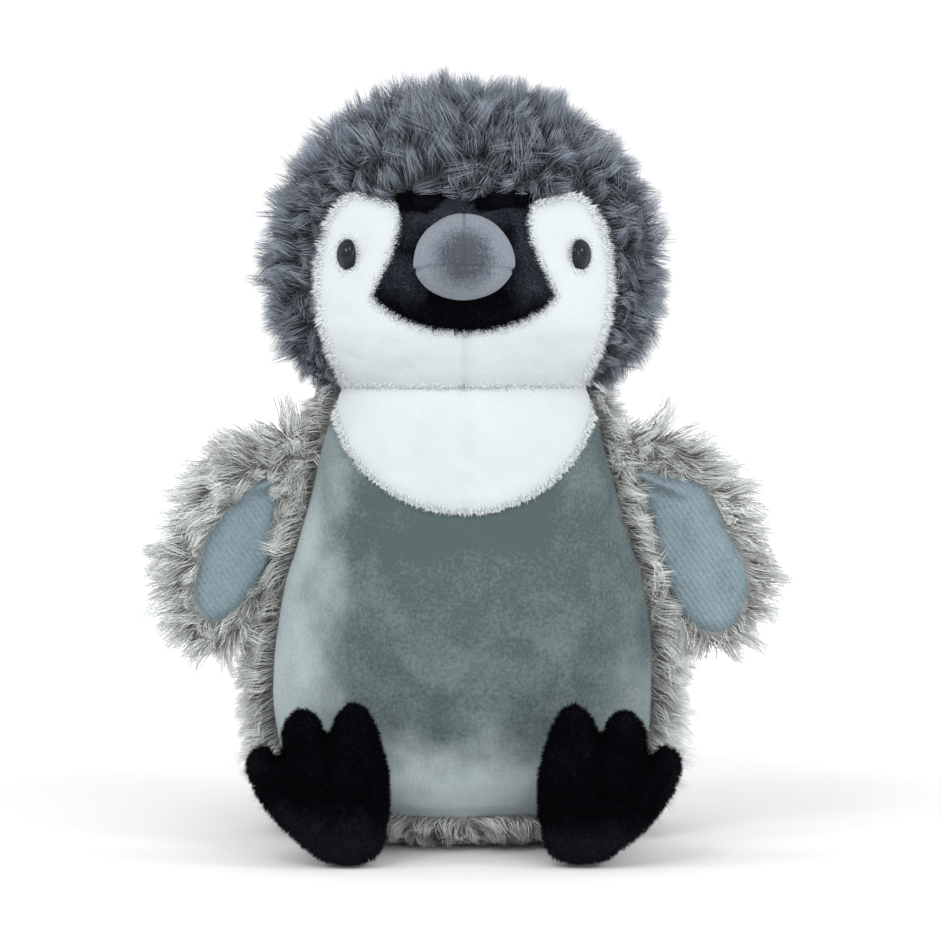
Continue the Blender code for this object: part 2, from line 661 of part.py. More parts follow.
def main():
    """Builds the whole toy."""
    tools = shared_cutters()
    torso_cutters(tools)
    head_cutters(tools)
    root = hang_on(make_torso(tools), "torso_frame", Vector((0.0, 0.0, 0.0)))
    neck = hang_on(make_neck(tools), "neck_pivot", HEAD_PIVOT, root)
    hang_on(make_head(tools) + make_eyes() + make_beak(tools), "head_pivot", HEAD_PIVOT, neck)
    for side, word in ((1, "left"), (-1, "right")):
        hang_on(make_leg(tools, side, word), "leg_frame_" + word, Vector((0.0, 0.0, 0.0)), root)
        hang_on(make_wing(side, word), "shoulder_" + word, shoulder(side), root)
        hang_on(make_foot(side, word), "heel_" + word,
                Vector((LEG_END.x * side, FOOT_AXIS_Y, FOOT_AXIS_Z)), root)
    for item in PARTS.objects:
        if item.type == "MESH":
            item.data.set_sharp_from_angle(angle=math.radians(40.0))


for leftover in list(bpy.data.objects):
    bpy.data.objects.remove(leftover, do_unlink=True)
PARTS = collection("plush_penguin")
CUTTERS = collection("cutters")
main()
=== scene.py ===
"""Looks of the sitting plush penguin chick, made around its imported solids.

Every panel is a stuffed skin cut from the form of the torso or the head, the pile is real
fibres grown out of those skins, and each piece rides on the body that it belongs to.
"""

from __future__ import annotations

import logging
import math
from dataclasses import dataclass
from enum import Enum
from typing import Callable, Sequence

import bmesh
import bpy
import numpy as np
from mathutils import Matrix, Vector, kdtree


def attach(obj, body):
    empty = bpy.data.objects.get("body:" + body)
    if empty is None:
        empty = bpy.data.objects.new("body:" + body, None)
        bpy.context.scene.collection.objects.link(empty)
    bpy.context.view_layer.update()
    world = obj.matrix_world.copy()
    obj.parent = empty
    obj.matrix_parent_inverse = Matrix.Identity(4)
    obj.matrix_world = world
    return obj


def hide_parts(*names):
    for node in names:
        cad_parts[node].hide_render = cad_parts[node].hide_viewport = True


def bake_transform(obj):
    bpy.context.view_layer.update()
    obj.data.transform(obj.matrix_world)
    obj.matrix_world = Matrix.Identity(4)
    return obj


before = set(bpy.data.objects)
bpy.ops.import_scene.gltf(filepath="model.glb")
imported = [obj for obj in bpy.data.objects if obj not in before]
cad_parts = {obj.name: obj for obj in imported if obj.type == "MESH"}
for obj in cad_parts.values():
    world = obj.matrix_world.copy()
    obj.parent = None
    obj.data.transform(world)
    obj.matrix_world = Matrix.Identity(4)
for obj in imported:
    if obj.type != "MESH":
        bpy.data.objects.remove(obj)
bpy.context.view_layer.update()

LOG = logging.getLogger("penguin")
MM = 0.001
MOST_TRIANGLES = 195_000  # in one piece of pile
REACH = 122.0 * MM  # how far out in X the pile stands before it is held back
GIVE = 9.0 * MM  # how far past that it may still bend
LOOSE = 0.6  # how full loose filling is
FACE_BACK_Y = -8.0 * MM  # the face's panels stay in front of this
OUTSIDE = -0.05  # the distance given to a point on a panel's far side
SHEEN_ROUGHNESS = 0.5
CLOTH_CELL = 5.0 * MM
CLOTH_MASS = 0.003
CLOTH_STIFFNESS = 0.5
CLOTH_FRAMES = 20
FILL_PRESSURE = 4.0
NEIGHBOURS = 6  # cloth points that a skin's point follows
DOWN = np.array([0.0, 0.0, -1.0])

Colour = tuple[float, float, float]
Place = tuple[float, float, float]
Knots = Sequence[tuple[float, float]]
Points = np.ndarray
Socket = bpy.types.NodeSocket


class Side(Enum):
    """The penguin's own left is towards +X."""

    LEFT = 1
    RIGHT = -1

    @property
    def word(self) -> str:
        """The side's name, as the nodes have it."""
        return self.name.lower()


def fade(value: Points, low: float, high: float) -> Points:
    """0 below low, 1 above high, smooth between."""
    t = np.clip((value - low) / (high - low), 0.0, 1.0)
    return t * t * (3.0 - 2.0 * t)


def unit(rows: Points) -> Points:
    """Each row scaled to length 1."""
    return rows / np.maximum(np.linalg.norm(rows, axis=1, keepdims=True), 1e-12)


def near_edge(edge: Points, width: float, seed: int) -> Points:
    """Chooses places inside an edge, fewer and fewer up to a width from it.

    Args:
        edge: how far inside each place is.
        width: how far in the last ones are.
        seed: of the random draws.

    Returns:
        Which places are chosen.
    """
    chance = np.random.default_rng(seed).random(len(edge))
    return (edge > 0.0) & (chance < 1.0 - fade(edge, 0.25 * width, width))


def catmull(knots: Points, closed: bool, steps: int) -> Points:
    """Points along a smooth curve through the knots.

    Args:
        knots: a row each.
        closed: whether the curve comes back to its start.
        steps: points to each knot.

    Returns:
        The points.
    """
    count = len(knots)
    picks = np.arange(count if closed else count - 1)

    def knot(shift: int) -> Points:
        """The knots, moved along by a number of places."""
        index = picks + shift
        return knots[index % count] if closed else knots[np.clip(index, 0, count - 1)]

    a, b, c, d = (knot(shift)[:, None, :] for shift in (-1, 0, 1, 2))
    t = (np.arange(steps) / steps)[None, :, None]
    run = 0.5 * (2 * b + (c - a) * t + (2 * a - 5 * b + 4 * c - d) * t * t + (3 * b - a - 3 * c + d) * t**3)
    run = run.reshape(-1, knots.shape[1])
    return run if closed else np.vstack([run, knots[-1:]])


@dataclass(frozen=True)
class Outline:
    """A smooth closed outline in a plane, its knots in millimetres."""

    knots: Knots

    def loop(self) -> Points:
        """The outline as a closed run of points, in metres."""
        return catmull(np.array(self.knots) * MM, True, 8)

    def signed(self, plane: Points) -> Points:
        """How far inside the outline each point is; negative outside."""
        return self.nearest(plane)[1]

    def nearest(self, plane: Points) -> tuple[Points, Points]:
        """Finds the nearest point of the outline to each point.

        Args:
            plane: the points.

        Returns:
            The nearest points, and how far inside the outline each point is.
        """
        start = self.loop()
        run = np.roll(start, -1, axis=0) - start
        best = np.full(len(plane), 1e9)
        where = np.zeros_like(plane)
        inside = np.zeros(len(plane), bool)
        for (x, y), (dx, dy) in zip(start, run):
            t = np.clip(((plane[:, 0] - x) * dx + (plane[:, 1] - y) * dy) / (dx * dx + dy * dy), 0, 1)
            foot = np.stack([x + t * dx, y + t * dy], axis=1)
            gap = np.hypot(*(plane - foot).T)
            closer = gap < best
            best[closer], where[closer] = gap[closer], foot[closer]
            crosses = (y > plane[:, 1]) != (y + dy > plane[:, 1])
            at = x + (plane[:, 1] - y) * dx / (dy if abs(dy) > 1e-12 else 1e-12)
            inside ^= crosses & (plane[:, 0] < at)
        return where, np.where(inside, best, -best)


def mirrored(knots: Knots) -> Knots:
    """The other hand of an outline."""
    return tuple((-x, y) for x, y in reversed(knots))


def both_halves(knots: Knots) -> Knots:
    """A closed outline from its +X half, whose ends lie on the middle line."""
    return tuple(knots) + tuple((-x, y) for x, y in reversed(knots[1:-1]))


# --------------------------------------------------------------------------------------
# Finishes
# --------------------------------------------------------------------------------------


@dataclass
class Graph:
    """Adds nodes to one tree and links them."""

    tree: bpy.types.NodeTree

    def add(self, kind: str, values: dict | None = None, **settings: object) -> bpy.types.Node:
        """A new node.

        Args:
            kind: the node's type.
            values: input name or number to a value, or to a socket to link from.
            settings: the node's own settings.

        Returns:
            The node.
        """
        node = self.tree.nodes.new(kind)
        for key, setting in settings.items():
            setattr(node, key, setting)
        for key, value in (values or {}).items():
            if isinstance(value, Socket):
                self.tree.links.new(value, node.inputs[key])
            else:
                node.inputs[key].default_value = value
        return node

    def maths(self, operation: str, *values: object) -> Socket:
        """The value of a Math node."""
        return self.add("ShaderNodeMath", dict(enumerate(values)), operation=operation).outputs[0]


def set_inputs(node: bpy.types.Node, values: dict[str, object]) -> None:
    """Sets constants on a node's own sockets, by name."""
    for key, value in values.items():
        node.inputs[key].default_value = value


def new_group(name: str, inputs: dict[str, tuple[str, object]], output: tuple[str, str]) -> tuple:
    """An empty shader group, or the one already made.

    Args:
        name: the group's name.
        inputs: name to (socket type, default).
        output: (name, socket type).

    Returns:
        (group, its graph, the input node's outputs, the output's socket), the last three None
        if the group was there already.
    """
    if name in bpy.data.node_groups:
        return bpy.data.node_groups[name], None, None, None
    group = bpy.data.node_groups.new(name, "ShaderNodeTree")
    for key, (kind, value) in inputs.items():
        group.interface.new_socket(key, in_out="INPUT", socket_type=kind).default_value = value
    group.interface.new_socket(output[0], in_out="OUTPUT", socket_type=output[1])
    graph = Graph(group)
    entry = graph.add("NodeGroupInput")
    leave = graph.add("NodeGroupOutput")
    return group, graph, entry.outputs, leave.inputs[0]


def strand_group() -> bpy.types.NodeTree:
    """Colour along a fibre: dark root, paler tip, each fibre and each patch a little different.

    Returns:
        The group, with its colour as the only output.
    """
    group, graph, given, result = new_group(
        "fibre_colour",
        {"Root": ("NodeSocketColor", (0, 0, 0, 1)), "Middle": ("NodeSocketColor", (0, 0, 0, 1)),
         "Tip": ("NodeSocketColor", (0, 0, 0, 1)), "Spread": ("NodeSocketFloat", 0.3),
         "Patch": ("NodeSocketFloat", 0.2), "Patch Scale": ("NodeSocketFloat", 60.0)},
        ("Color", "NodeSocketColor"))
    if graph:
        strand = graph.add("ShaderNodeUVMap", uv_map="strand")
        parts = graph.add("ShaderNodeSeparateXYZ", {0: strand.outputs["UV"]})
        along, chance = parts.outputs["Y"], parts.outputs["X"]
        low = graph.add("ShaderNodeMapRange", {"Value": along, "From Min": 0.05, "From Max": 0.5})
        high = graph.add("ShaderNodeMapRange", {"Value": along, "From Min": 0.45, "From Max": 1.0})
        lower = graph.add("ShaderNodeMix", {"Factor": low.outputs[0], 6: given["Root"], 7: given["Middle"]},
                          data_type="RGBA")
        upper = graph.add("ShaderNodeMix", {"Factor": high.outputs[0], 6: lower.outputs[2], 7: given["Tip"]},
                          data_type="RGBA")
        place = graph.add("ShaderNodeTexCoord")
        cloud = graph.add("ShaderNodeTexNoise", {"Vector": place.outputs["Object"],
                                                 "Scale": given["Patch Scale"], "Detail": 2.0})
        patch = graph.maths("MULTIPLY", graph.maths("SUBTRACT", cloud.outputs["Fac"], 0.5),
                            graph.maths("MULTIPLY", given["Patch"], 4.0))
        own = graph.maths("MULTIPLY", graph.maths("SUBTRACT", chance, 0.5),
                          graph.maths("MULTIPLY", given["Spread"], 2.0))
        gain = graph.maths("ADD", graph.maths("ADD", patch, own), 1.0)
        tint = graph.add("ShaderNodeVectorMath", {0: upper.outputs[2], "Scale": gain}, operation="SCALE")
        graph.tree.links.new(tint.outputs[0], result)
    return group


def mottle_group() -> bpy.types.NodeTree:
    """Two colours in soft clouds with a fine fibre speckle over them.

    Returns:
        The group, with its colour as the only output.
    """
    group, graph, given, result = new_group(
        "cloth_mottle",
        {"Dark": ("NodeSocketColor", (0, 0, 0, 1)), "Light": ("NodeSocketColor", (1, 1, 1, 1)),
         "Cloud": ("NodeSocketFloat", 1.0), "Cloud Scale": ("NodeSocketFloat", 40.0),
         "Speckle Scale": ("NodeSocketFloat", 1500.0), "Speckle": ("NodeSocketFloat", 0.3),
         "Push": ("NodeSocketFloat", 0.0)},
        ("Color", "NodeSocketColor"))
    if graph:
        place = graph.add("ShaderNodeTexCoord").outputs["Object"]
        cloud = graph.add("ShaderNodeTexNoise", {"Vector": place, "Scale": given["Cloud Scale"],
                                                 "Detail": 3.0, "Distortion": 0.6})
        wide = graph.maths("MULTIPLY", graph.maths("SUBTRACT", cloud.outputs["Fac"], 0.5),
                           graph.maths("MULTIPLY", given["Cloud"], 2.5))
        grain = graph.add("ShaderNodeTexNoise", {"Vector": place, "Scale": given["Speckle Scale"],
                                                 "Detail": 2.0})
        speck = graph.maths("MULTIPLY", graph.maths("SUBTRACT", grain.outputs["Fac"], 0.5),
                            graph.maths("MULTIPLY", given["Speckle"], 4.0))
        share = graph.maths("ADD", graph.maths("ADD", graph.maths("ADD", wide, 0.5), given["Push"]), speck)
        held = graph.add("ShaderNodeClamp", {"Value": share})
        mix = graph.add("ShaderNodeMix", {"Factor": held.outputs[0], 6: given["Dark"], 7: given["Light"]},
                        data_type="RGBA")
        graph.tree.links.new(mix.outputs[2], result)
    return group


def nap_group() -> bpy.types.NodeTree:
    """Height of a short nap: fine fibres drawn out along the brushing, over soft waves.

    Returns:
        The group, with its height as the only output.
    """
    group, graph, given, result = new_group(
        "nap_height",
        {"Grain": ("NodeSocketFloat", 1800.0), "Stretch": ("NodeSocketFloat", 0.35),
         "Wave Scale": ("NodeSocketFloat", 90.0), "Wave": ("NodeSocketFloat", 0.6)},
        ("Height", "NodeSocketFloat"))
    if graph:
        place = graph.add("ShaderNodeTexCoord").outputs["Object"]
        run = graph.add("ShaderNodeCombineXYZ", {0: 1.0, 1: 1.0, 2: given["Stretch"]})
        drawn = graph.add("ShaderNodeVectorMath", {0: place, 1: run.outputs[0]}, operation="MULTIPLY")
        fine = graph.add("ShaderNodeTexNoise", {"Vector": drawn.outputs[0], "Scale": given["Grain"],
                                                "Detail": 3.0})
        wave = graph.add("ShaderNodeTexNoise", {"Vector": place, "Scale": given["Wave Scale"], "Detail": 2.0})
        total = graph.maths("ADD", fine.outputs["Fac"],
                            graph.maths("MULTIPLY", wave.outputs["Fac"], given["Wave"]))
        graph.tree.links.new(total, result)
    return group


@dataclass(frozen=True)
class Finish:
    """What every finish has: a name and the shader's own constant settings."""

    name: str
    roughness: float = 0.9
    sheen: float = 0.0
    specular: float = 0.3

    def material(self) -> bpy.types.Material:
        """The finish as a material, made once.

        Returns:
            The material.
        """
        label = f"{self.name}_look"
        if label in bpy.data.materials:
            return bpy.data.materials[label]
        made = bpy.data.materials.new(label)
        made.use_nodes = True
        shader = made.node_tree.nodes["Principled BSDF"]
        set_inputs(shader, {"Roughness": self.roughness, "Sheen Weight": self.sheen,
                            "Sheen Roughness": SHEEN_ROUGHNESS, "Sheen Tint": (1.0, 1.0, 1.0, 1.0),
                            "Specular IOR Level": self.specular})
        self.paint(Graph(made.node_tree), shader)
        return made

    def paint(self, graph: Graph, shader: bpy.types.Node) -> None:
        """Adds what varies over the surface; a plain finish has nothing."""

    def bump(self, graph: Graph, shader: bpy.types.Node, height: Socket, depth_mm: float) -> None:
        """Feeds a relief to the shader's normal.

        Args:
            graph: the material's tree.
            shader: its shader.
            height: the relief, 0 to 1.
            depth_mm: how deep that is.
        """
        node = graph.add("ShaderNodeBump", {"Height": height, "Distance": depth_mm * MM, "Strength": 1.0})
        graph.tree.links.new(node.outputs["Normal"], shader.inputs["Normal"])


@dataclass(frozen=True)
class PileFinish(Finish):
    """Fibres, coloured from root to tip."""

    root: Colour = (0.1, 0.1, 0.1)
    middle: Colour = (0.2, 0.2, 0.2)
    tip: Colour = (0.4, 0.4, 0.4)
    spread: float = 0.3
    patch: float = 0.2
    patch_scale: float = 60.0

    def paint(self, graph: Graph, shader: bpy.types.Node) -> None:
        """Colours each fibre through the shared group.

        Args:
            graph: the material's tree.
            shader: its shader.
        """
        node = graph.add("ShaderNodeGroup", node_tree=strand_group())
        set_inputs(node, {"Root": (*self.root, 1.0), "Middle": (*self.middle, 1.0), "Tip": (*self.tip, 1.0),
                          "Spread": self.spread, "Patch": self.patch, "Patch Scale": self.patch_scale})
        graph.tree.links.new(node.outputs[0], shader.inputs["Base Color"])


@dataclass(frozen=True)
class ClothFinish(Finish):
    """A cloth face: clouded colour, fine speckle and a nap in the bump."""

    dark: Colour = (0.1, 0.1, 0.1)
    light: Colour = (0.2, 0.2, 0.2)
    cloud: float = 40.0
    clouded: float = 1.0
    speckle_scale: float = 1500.0
    speckle: float = 0.3
    grain: float = 1800.0
    stretch: float = 0.35
    wave: float = 0.6
    depth_mm: float = 0.25

    def paint(self, graph: Graph, shader: bpy.types.Node) -> None:
        """Colour from the mottle, relief from the nap.

        Args:
            graph: the material's tree.
            shader: its shader.
        """
        node = graph.add("ShaderNodeGroup", node_tree=mottle_group())
        set_inputs(node, {"Dark": (*self.dark, 1.0), "Light": (*self.light, 1.0), "Cloud": self.clouded,
                          "Cloud Scale": self.cloud, "Speckle Scale": self.speckle_scale,
                          "Speckle": self.speckle})
        push = self.push(graph)
        if push:
            graph.tree.links.new(push, node.inputs["Push"])
        graph.tree.links.new(node.outputs[0], shader.inputs["Base Color"])
        nap = graph.add("ShaderNodeGroup", node_tree=nap_group())
        set_inputs(nap, {"Grain": self.grain, "Stretch": self.stretch, "Wave": self.wave})
        self.bump(graph, shader, nap.outputs[0], self.depth_mm)

    def push(self, graph: Graph) -> Socket | None:
        """Where the cloth is lighter or darker than its clouds alone; None for nowhere."""
        return None


@dataclass(frozen=True)
class PaintedLightVelour(ClothFinish):
    """Velour with painted light and shade: soft patches painted paler as sheen and bounce light, along a side
    and low down, and darker as shade.
    """

    # Each patch is (centre mm, radii mm, amount): painted sheen and bounce light where the amount is
    # positive, painted shade where it is negative.
    brushed: tuple[tuple[Colour, Colour, float], ...] = ()
    base: float = -0.55

    def push(self, graph: Graph) -> Socket:
        """Sums soft oval patches of painted light and shade, each (centre mm, radii mm, amount), in Object
        coordinates.

        Args:
            graph: the material's tree.

        Returns:
            How much lighter than its clouds the velour is.
        """
        place = graph.add("ShaderNodeTexCoord").outputs["Object"]
        wobble = graph.add("ShaderNodeTexNoise", {"Vector": place, "Scale": 45.0, "Detail": 2.0})
        drift = graph.add("ShaderNodeVectorMath", {0: wobble.outputs["Color"], 1: (-0.5, -0.5, -0.5)},
                          operation="ADD")
        drift = graph.add("ShaderNodeVectorMath", {0: drift.outputs[0], "Scale": 0.028}, operation="SCALE")
        moved = graph.add("ShaderNodeVectorMath", {0: place, 1: drift.outputs[0]}, operation="ADD").outputs[0]
        total: object = self.base
        for centre, radii, amount in self.brushed:
            from_centre = graph.add("ShaderNodeVectorMath", {0: moved, 1: tuple(-c * MM for c in centre)},
                                    operation="ADD").outputs[0]
            grown = tuple(1.0 / (r * MM) for r in radii)
            scaled = graph.add("ShaderNodeVectorMath", {0: from_centre, 1: grown},
                               operation="MULTIPLY").outputs[0]
            reach = graph.add("ShaderNodeVectorMath", {0: scaled}, operation="LENGTH").outputs["Value"]
            soft = graph.add("ShaderNodeMapRange", {"Value": reach, "From Min": 1.3, "From Max": 0.25,
                                                    "To Min": 0.0, "To Max": amount},
                             interpolation_type="SMOOTHSTEP")
            total = graph.maths("ADD", soft.outputs[0], total)
        return total


@dataclass(frozen=True)
class SuedePaintedShade(ClothFinish):
    """Suede cloth with painted shade round the beak's tip and a painted sheen further from it."""

    # The centre of the painted shade, in millimetres, and how far out it fades into the painted sheen.
    tip: Colour = (0.0, -80.0, 230.0)
    shade_reach_mm: float = 20.0

    def push(self, graph: Graph) -> Socket:
        """Painted shade towards the tip, painted sheen further off.

        Args:
            graph: the material's tree.

        Returns:
            How much lighter than its clouds the suede is.
        """
        place = graph.add("ShaderNodeTexCoord").outputs["Object"]
        away = graph.add("ShaderNodeVectorMath", {0: place, 1: tuple(c * MM for c in self.tip)},
                         operation="DISTANCE").outputs["Value"]
        return graph.add("ShaderNodeMapRange", {"Value": away, "From Min": 2.0 * MM,
                                                "From Max": self.shade_reach_mm * MM, "To Min": -0.65,
                                                "To Max": 0.34}, interpolation_type="SMOOTHSTEP").outputs[0]


@dataclass(frozen=True)
class RibbedKnit(ClothFinish):
    """Short ribbed velour: fine slanting ribs in the relief, with painted shade in their grooves in the
    colour.
    """

    ribs_per_m: float = 330.0

    def paint(self, graph: Graph, shader: bpy.types.Node) -> None:
        """Adds the ribs to the cloth's relief, and painted shade in their grooves to its colour.

        Args:
            graph: the material's tree.
            shader: its shader.
        """
        super().paint(graph, shader)
        place = graph.add("ShaderNodeTexCoord").outputs["Object"]
        turned = graph.add("ShaderNodeMapping", {"Vector": place, "Rotation": (0.0, math.radians(35.0), 0.0)})
        rib = graph.add("ShaderNodeTexWave", {"Vector": turned.outputs[0], "Scale": self.ribs_per_m / 6.28,
                                              "Distortion": 2.0, "Detail": 2.0, "Detail Scale": 3.0},
                        bands_direction="X")
        nap = graph.add("ShaderNodeGroup", node_tree=nap_group())
        nap.inputs["Grain"].default_value = self.grain
        height = graph.maths("ADD", graph.maths("MULTIPLY", rib.outputs["Fac"], 0.5), nap.outputs[0])
        self.bump(graph, shader, height, self.depth_mm)
        # Painted shade: the colour is darkened where the ribs' relief is low.
        shade = graph.add("ShaderNodeMapRange", {"Value": rib.outputs["Fac"], "To Min": 0.93, "To Max": 1.04})
        colour = shader.inputs["Base Color"].links[0].from_socket
        scaled = graph.add("ShaderNodeVectorMath", {0: colour, "Scale": shade.outputs[0]}, operation="SCALE")
        graph.tree.links.new(scaled.outputs[0], shader.inputs["Base Color"])


SLATE_FUR = PileFinish("slate_fur", roughness=0.75, sheen=0.15, root=(0.034, 0.040, 0.052),
                       middle=(0.078, 0.093, 0.118), tip=(0.262, 0.303, 0.360), spread=0.8, patch=0.35,
                       patch_scale=70.0)
TAUPE_FUR = PileFinish("taupe_fur", roughness=0.75, sheen=0.15, root=(0.370, 0.378, 0.364),
                       middle=(0.585, 0.607, 0.594), tip=(0.760, 0.785, 0.776), spread=0.4, patch=0.35,
                       patch_scale=55.0)
WHITE_PILE = PileFinish("white_pile", roughness=0.9, root=(0.78, 0.82, 0.84), middle=(0.80, 0.84, 0.86),
                        tip=(0.80, 0.84, 0.86), spread=0.02, patch=0.02)
# Painted light on the mask cloth and its pile: paler above and beside the beak as painted sheen, much darker
# in the two brow hollows as painted shade.
MASK_PLUSH = PaintedLightVelour(
    "mask_plush", roughness=1.0, specular=0.06, dark=(0.0026, 0.0026, 0.0048), light=(0.064, 0.077, 0.099),
    cloud=60.0, clouded=0.15, speckle=0.10, speckle_scale=900.0, depth_mm=0.2, base=-0.52,
    brushed=(((0, -52, 246), (26, 30, 12), 0.75), ((-25, -45, 228), (9, 30, 18), 0.60),
             ((25, -45, 228), (9, 30, 18), 0.60), ((-14, -45, 251), (10, 30, 4.5), -1.4),
             ((14, -45, 251), (10, 30, 4.5), -1.4)))
# Painted sheen on the feet and their pile: paler low down and at the outer toes.
FOOT_PLUSH = PaintedLightVelour(
    "foot_plush", roughness=1.0, specular=0.05, dark=(0.0015, 0.0015, 0.0028), light=(0.022, 0.026, 0.038),
    cloud=80.0, clouded=0.12, speckle=0.1, speckle_scale=900.0, depth_mm=0.2, base=-0.5,
    brushed=(((52, -80, 4), (36, 30, 18), 0.42), ((-52, -80, 4), (36, 30, 18), 0.42),
             ((82, -76, 24), (9, 20, 22), 0.3), ((-82, -76, 24), (9, 20, 22), 0.3)))
# The backing cloths are as dark as the fibres' roots: partly the backing's own colour, partly painted shade
# in the gaps between the fibres.
SLATE_BACKING_AND_SHADE = ClothFinish("slate_backing_and_shade", dark=(0.016, 0.019, 0.025), light=(0.03, 0.036, 0.045))
TAUPE_BACKING_AND_SHADE = ClothFinish("taupe_backing_and_shade", dark=(0.16, 0.16, 0.15), light=(0.26, 0.26, 0.25))
WHITE_CLOTH = ClothFinish("white_cloth", roughness=1.0, specular=0.1, dark=(0.445, 0.480, 0.500),
                          light=(0.495, 0.530, 0.545), cloud=50.0, clouded=0.5, speckle=0.12, grain=900.0,
                          depth_mm=0.3)
BLACK_CLOTH = ClothFinish("black_cloth", roughness=1.0, specular=0.05, dark=(0.001, 0.001, 0.002),
                          light=(0.003, 0.003, 0.005))
# Painted light on the belly: paler down the -X side and low on the +X side as painted sheen, paler low down
# as painted bounce light from the floor, and a little darker across the top.
BELLY_VELOUR = PaintedLightVelour(
    "belly_velour", roughness=0.95, specular=0.1, sheen=0.05, dark=(0.060, 0.083, 0.086),
    light=(0.350, 0.410, 0.420), cloud=55.0, clouded=0.17, speckle=0.10, speckle_scale=800.0, grain=800.0,
    depth_mm=0.3, base=-0.42,
    brushed=(((-74, -20, 80), (27, 60, 66), 0.74), ((0, -55, 17), (68, 60, 28), 1.25),
             ((72, -20, 40), (24, 60, 40), 0.30), ((0, -60, 128), (60, 60, 24), -0.16),
             ((-60, -30, 140), (17, 50, 34), 0.35)))
BEAK_SUEDE = SuedePaintedShade("beak_suede", roughness=0.95, sheen=0.12, specular=0.1, dark=(0.050, 0.057, 0.072),
                       light=(0.185, 0.212, 0.250), cloud=260.0, clouded=0.25, speckle=0.35,
                       speckle_scale=1100.0, stretch=1.0, depth_mm=0.15)
WING_KNIT = RibbedKnit("wing_knit", roughness=0.95, specular=0.1, sheen=0.1, dark=(0.125, 0.170, 0.193),
                       light=(0.225, 0.290, 0.322), cloud=60.0, clouded=0.4, speckle=0.3, speckle_scale=800.0,
                       ribs_per_m=950.0, depth_mm=0.3)
EYE_GLOSS = ClothFinish("eye_gloss", roughness=0.07, specular=0.18, dark=(0.004, 0.005, 0.006),
                        light=(0.010, 0.013, 0.015), speckle=0.0, wave=0.0, depth_mm=0.002)
WASHER_NYLON = ClothFinish("washer_nylon", roughness=0.4, dark=(0.70, 0.70, 0.66), light=(0.76, 0.76, 0.73),
                           speckle=0.05, depth_mm=0.02)
FIBRE_FILL = ClothFinish("fibre_fill", roughness=1.0, sheen=0.2, dark=(0.72, 0.72, 0.70),
                         light=(0.88, 0.88, 0.87), cloud=120.0, grain=700.0, stretch=1.0, depth_mm=1.2)
POUCH_WEAVE = ClothFinish("pouch_weave", roughness=0.9, dark=(0.45, 0.43, 0.37), light=(0.60, 0.58, 0.52),
                          cloud=200.0, grain=2600.0, stretch=1.0, depth_mm=0.3)


# --------------------------------------------------------------------------------------
# Forms and pieces
# --------------------------------------------------------------------------------------


@dataclass(frozen=True)
class StuffedForm:
    """A turned form with an oval section: knots are (half width, height) in millimetres."""

    knots: Knots
    centre_y: tuple[float, float]
    depth: tuple[float, float]
    change_z: tuple[float, float]
    pinches: tuple[tuple[float, float, float], ...] = ()

    def section(self, z: Points) -> tuple[Points, Points]:
        """The centre in Y and the depth for its width, at heights in metres."""
        t = fade(z, self.change_z[0] * MM, self.change_z[1] * MM)
        centre = self.centre_y[0] + (self.centre_y[1] - self.centre_y[0]) * t
        return centre * MM, self.depth[0] + (self.depth[1] - self.depth[0]) * t

    def build(self, around: int, rings: int, grow_mm: float = 0.0) -> bmesh.types.BMesh:
        """A sphere laid on the profile.

        Args:
            around: facets round the form.
            rings: facets from pole to pole.
            grow_mm: how far the surface is moved outwards.

        Returns:
            The closed form.
        """
        run = catmull(np.array(self.knots) * MM, False, 40)
        reach = np.concatenate([[0.0], np.cumsum(np.hypot(*np.diff(run, axis=0).T))])
        at = np.linspace(0.0, reach[-1], rings + 1)
        width, height = (np.interp(at, reach, run[:, k]) for k in (0, 1))
        slope = unit(np.stack([np.gradient(width), np.gradient(height)], axis=1))
        out = np.stack([slope[:, 1], -slope[:, 0]], axis=1)
        for z, pull, spread in self.pinches:
            width = width - pull * MM * ridge(height / MM - z, spread)
        centre, depth = self.section(height)
        bm = bmesh.new()
        bmesh.ops.create_uvsphere(bm, u_segments=around, v_segments=rings, radius=1.0)
        grow = grow_mm * MM
        for vert in bm.verts:
            k = round((1.0 - math.acos(max(-1.0, min(1.0, vert.co.z))) / math.pi) * rings)
            angle = math.atan2(vert.co.y, vert.co.x)
            pole = k in (0, rings)
            wide = 0.0 if pole else width[k] + out[k, 0] * grow
            deep = 0.0 if pole else width[k] * depth[k] + out[k, 0] * grow
            rise = (-grow if k == 0 else grow) if pole else out[k, 1] * grow
            vert.co = (wide * math.cos(angle), centre[k] + deep * math.sin(angle), height[k] + rise)
        return bm

    def filling(self, seed: float) -> bmesh.types.BMesh:
        """The loose filling inside: the form drawn in and made lumpy."""
        bm = self.build(64, 48, grow_mm=-5.0)
        lumpy(bm, 1.4, 11.0, seed)
        return bm


def ovoid(radii_mm: Place, centre_mm: Place, around: int = 48, rings: int = 32) -> bmesh.types.BMesh:
    """A sphere stretched to its radii and set at its centre.

    Args:
        radii_mm: along X, Y and Z.
        centre_mm: where its centre is.
        around: facets round it.
        rings: facets from pole to pole.

    Returns:
        The closed solid.
    """
    bm = bmesh.new()
    bmesh.ops.create_uvsphere(bm, u_segments=around, v_segments=rings, radius=1.0)
    bmesh.ops.scale(bm, vec=tuple(r * MM for r in radii_mm), verts=bm.verts)
    bmesh.ops.translate(bm, vec=tuple(c * MM for c in centre_mm), verts=bm.verts)
    return bm


def ridge(gap: Points, width: float) -> Points:
    """1 at no gap, falling away smoothly over a width."""
    return np.exp(-((gap / width) ** 2))


def coordinates(bm: bmesh.types.BMesh) -> Points:
    """The vertices of a bmesh as rows."""
    return np.array([vert.co[:] for vert in bm.verts]).reshape(-1, 3)


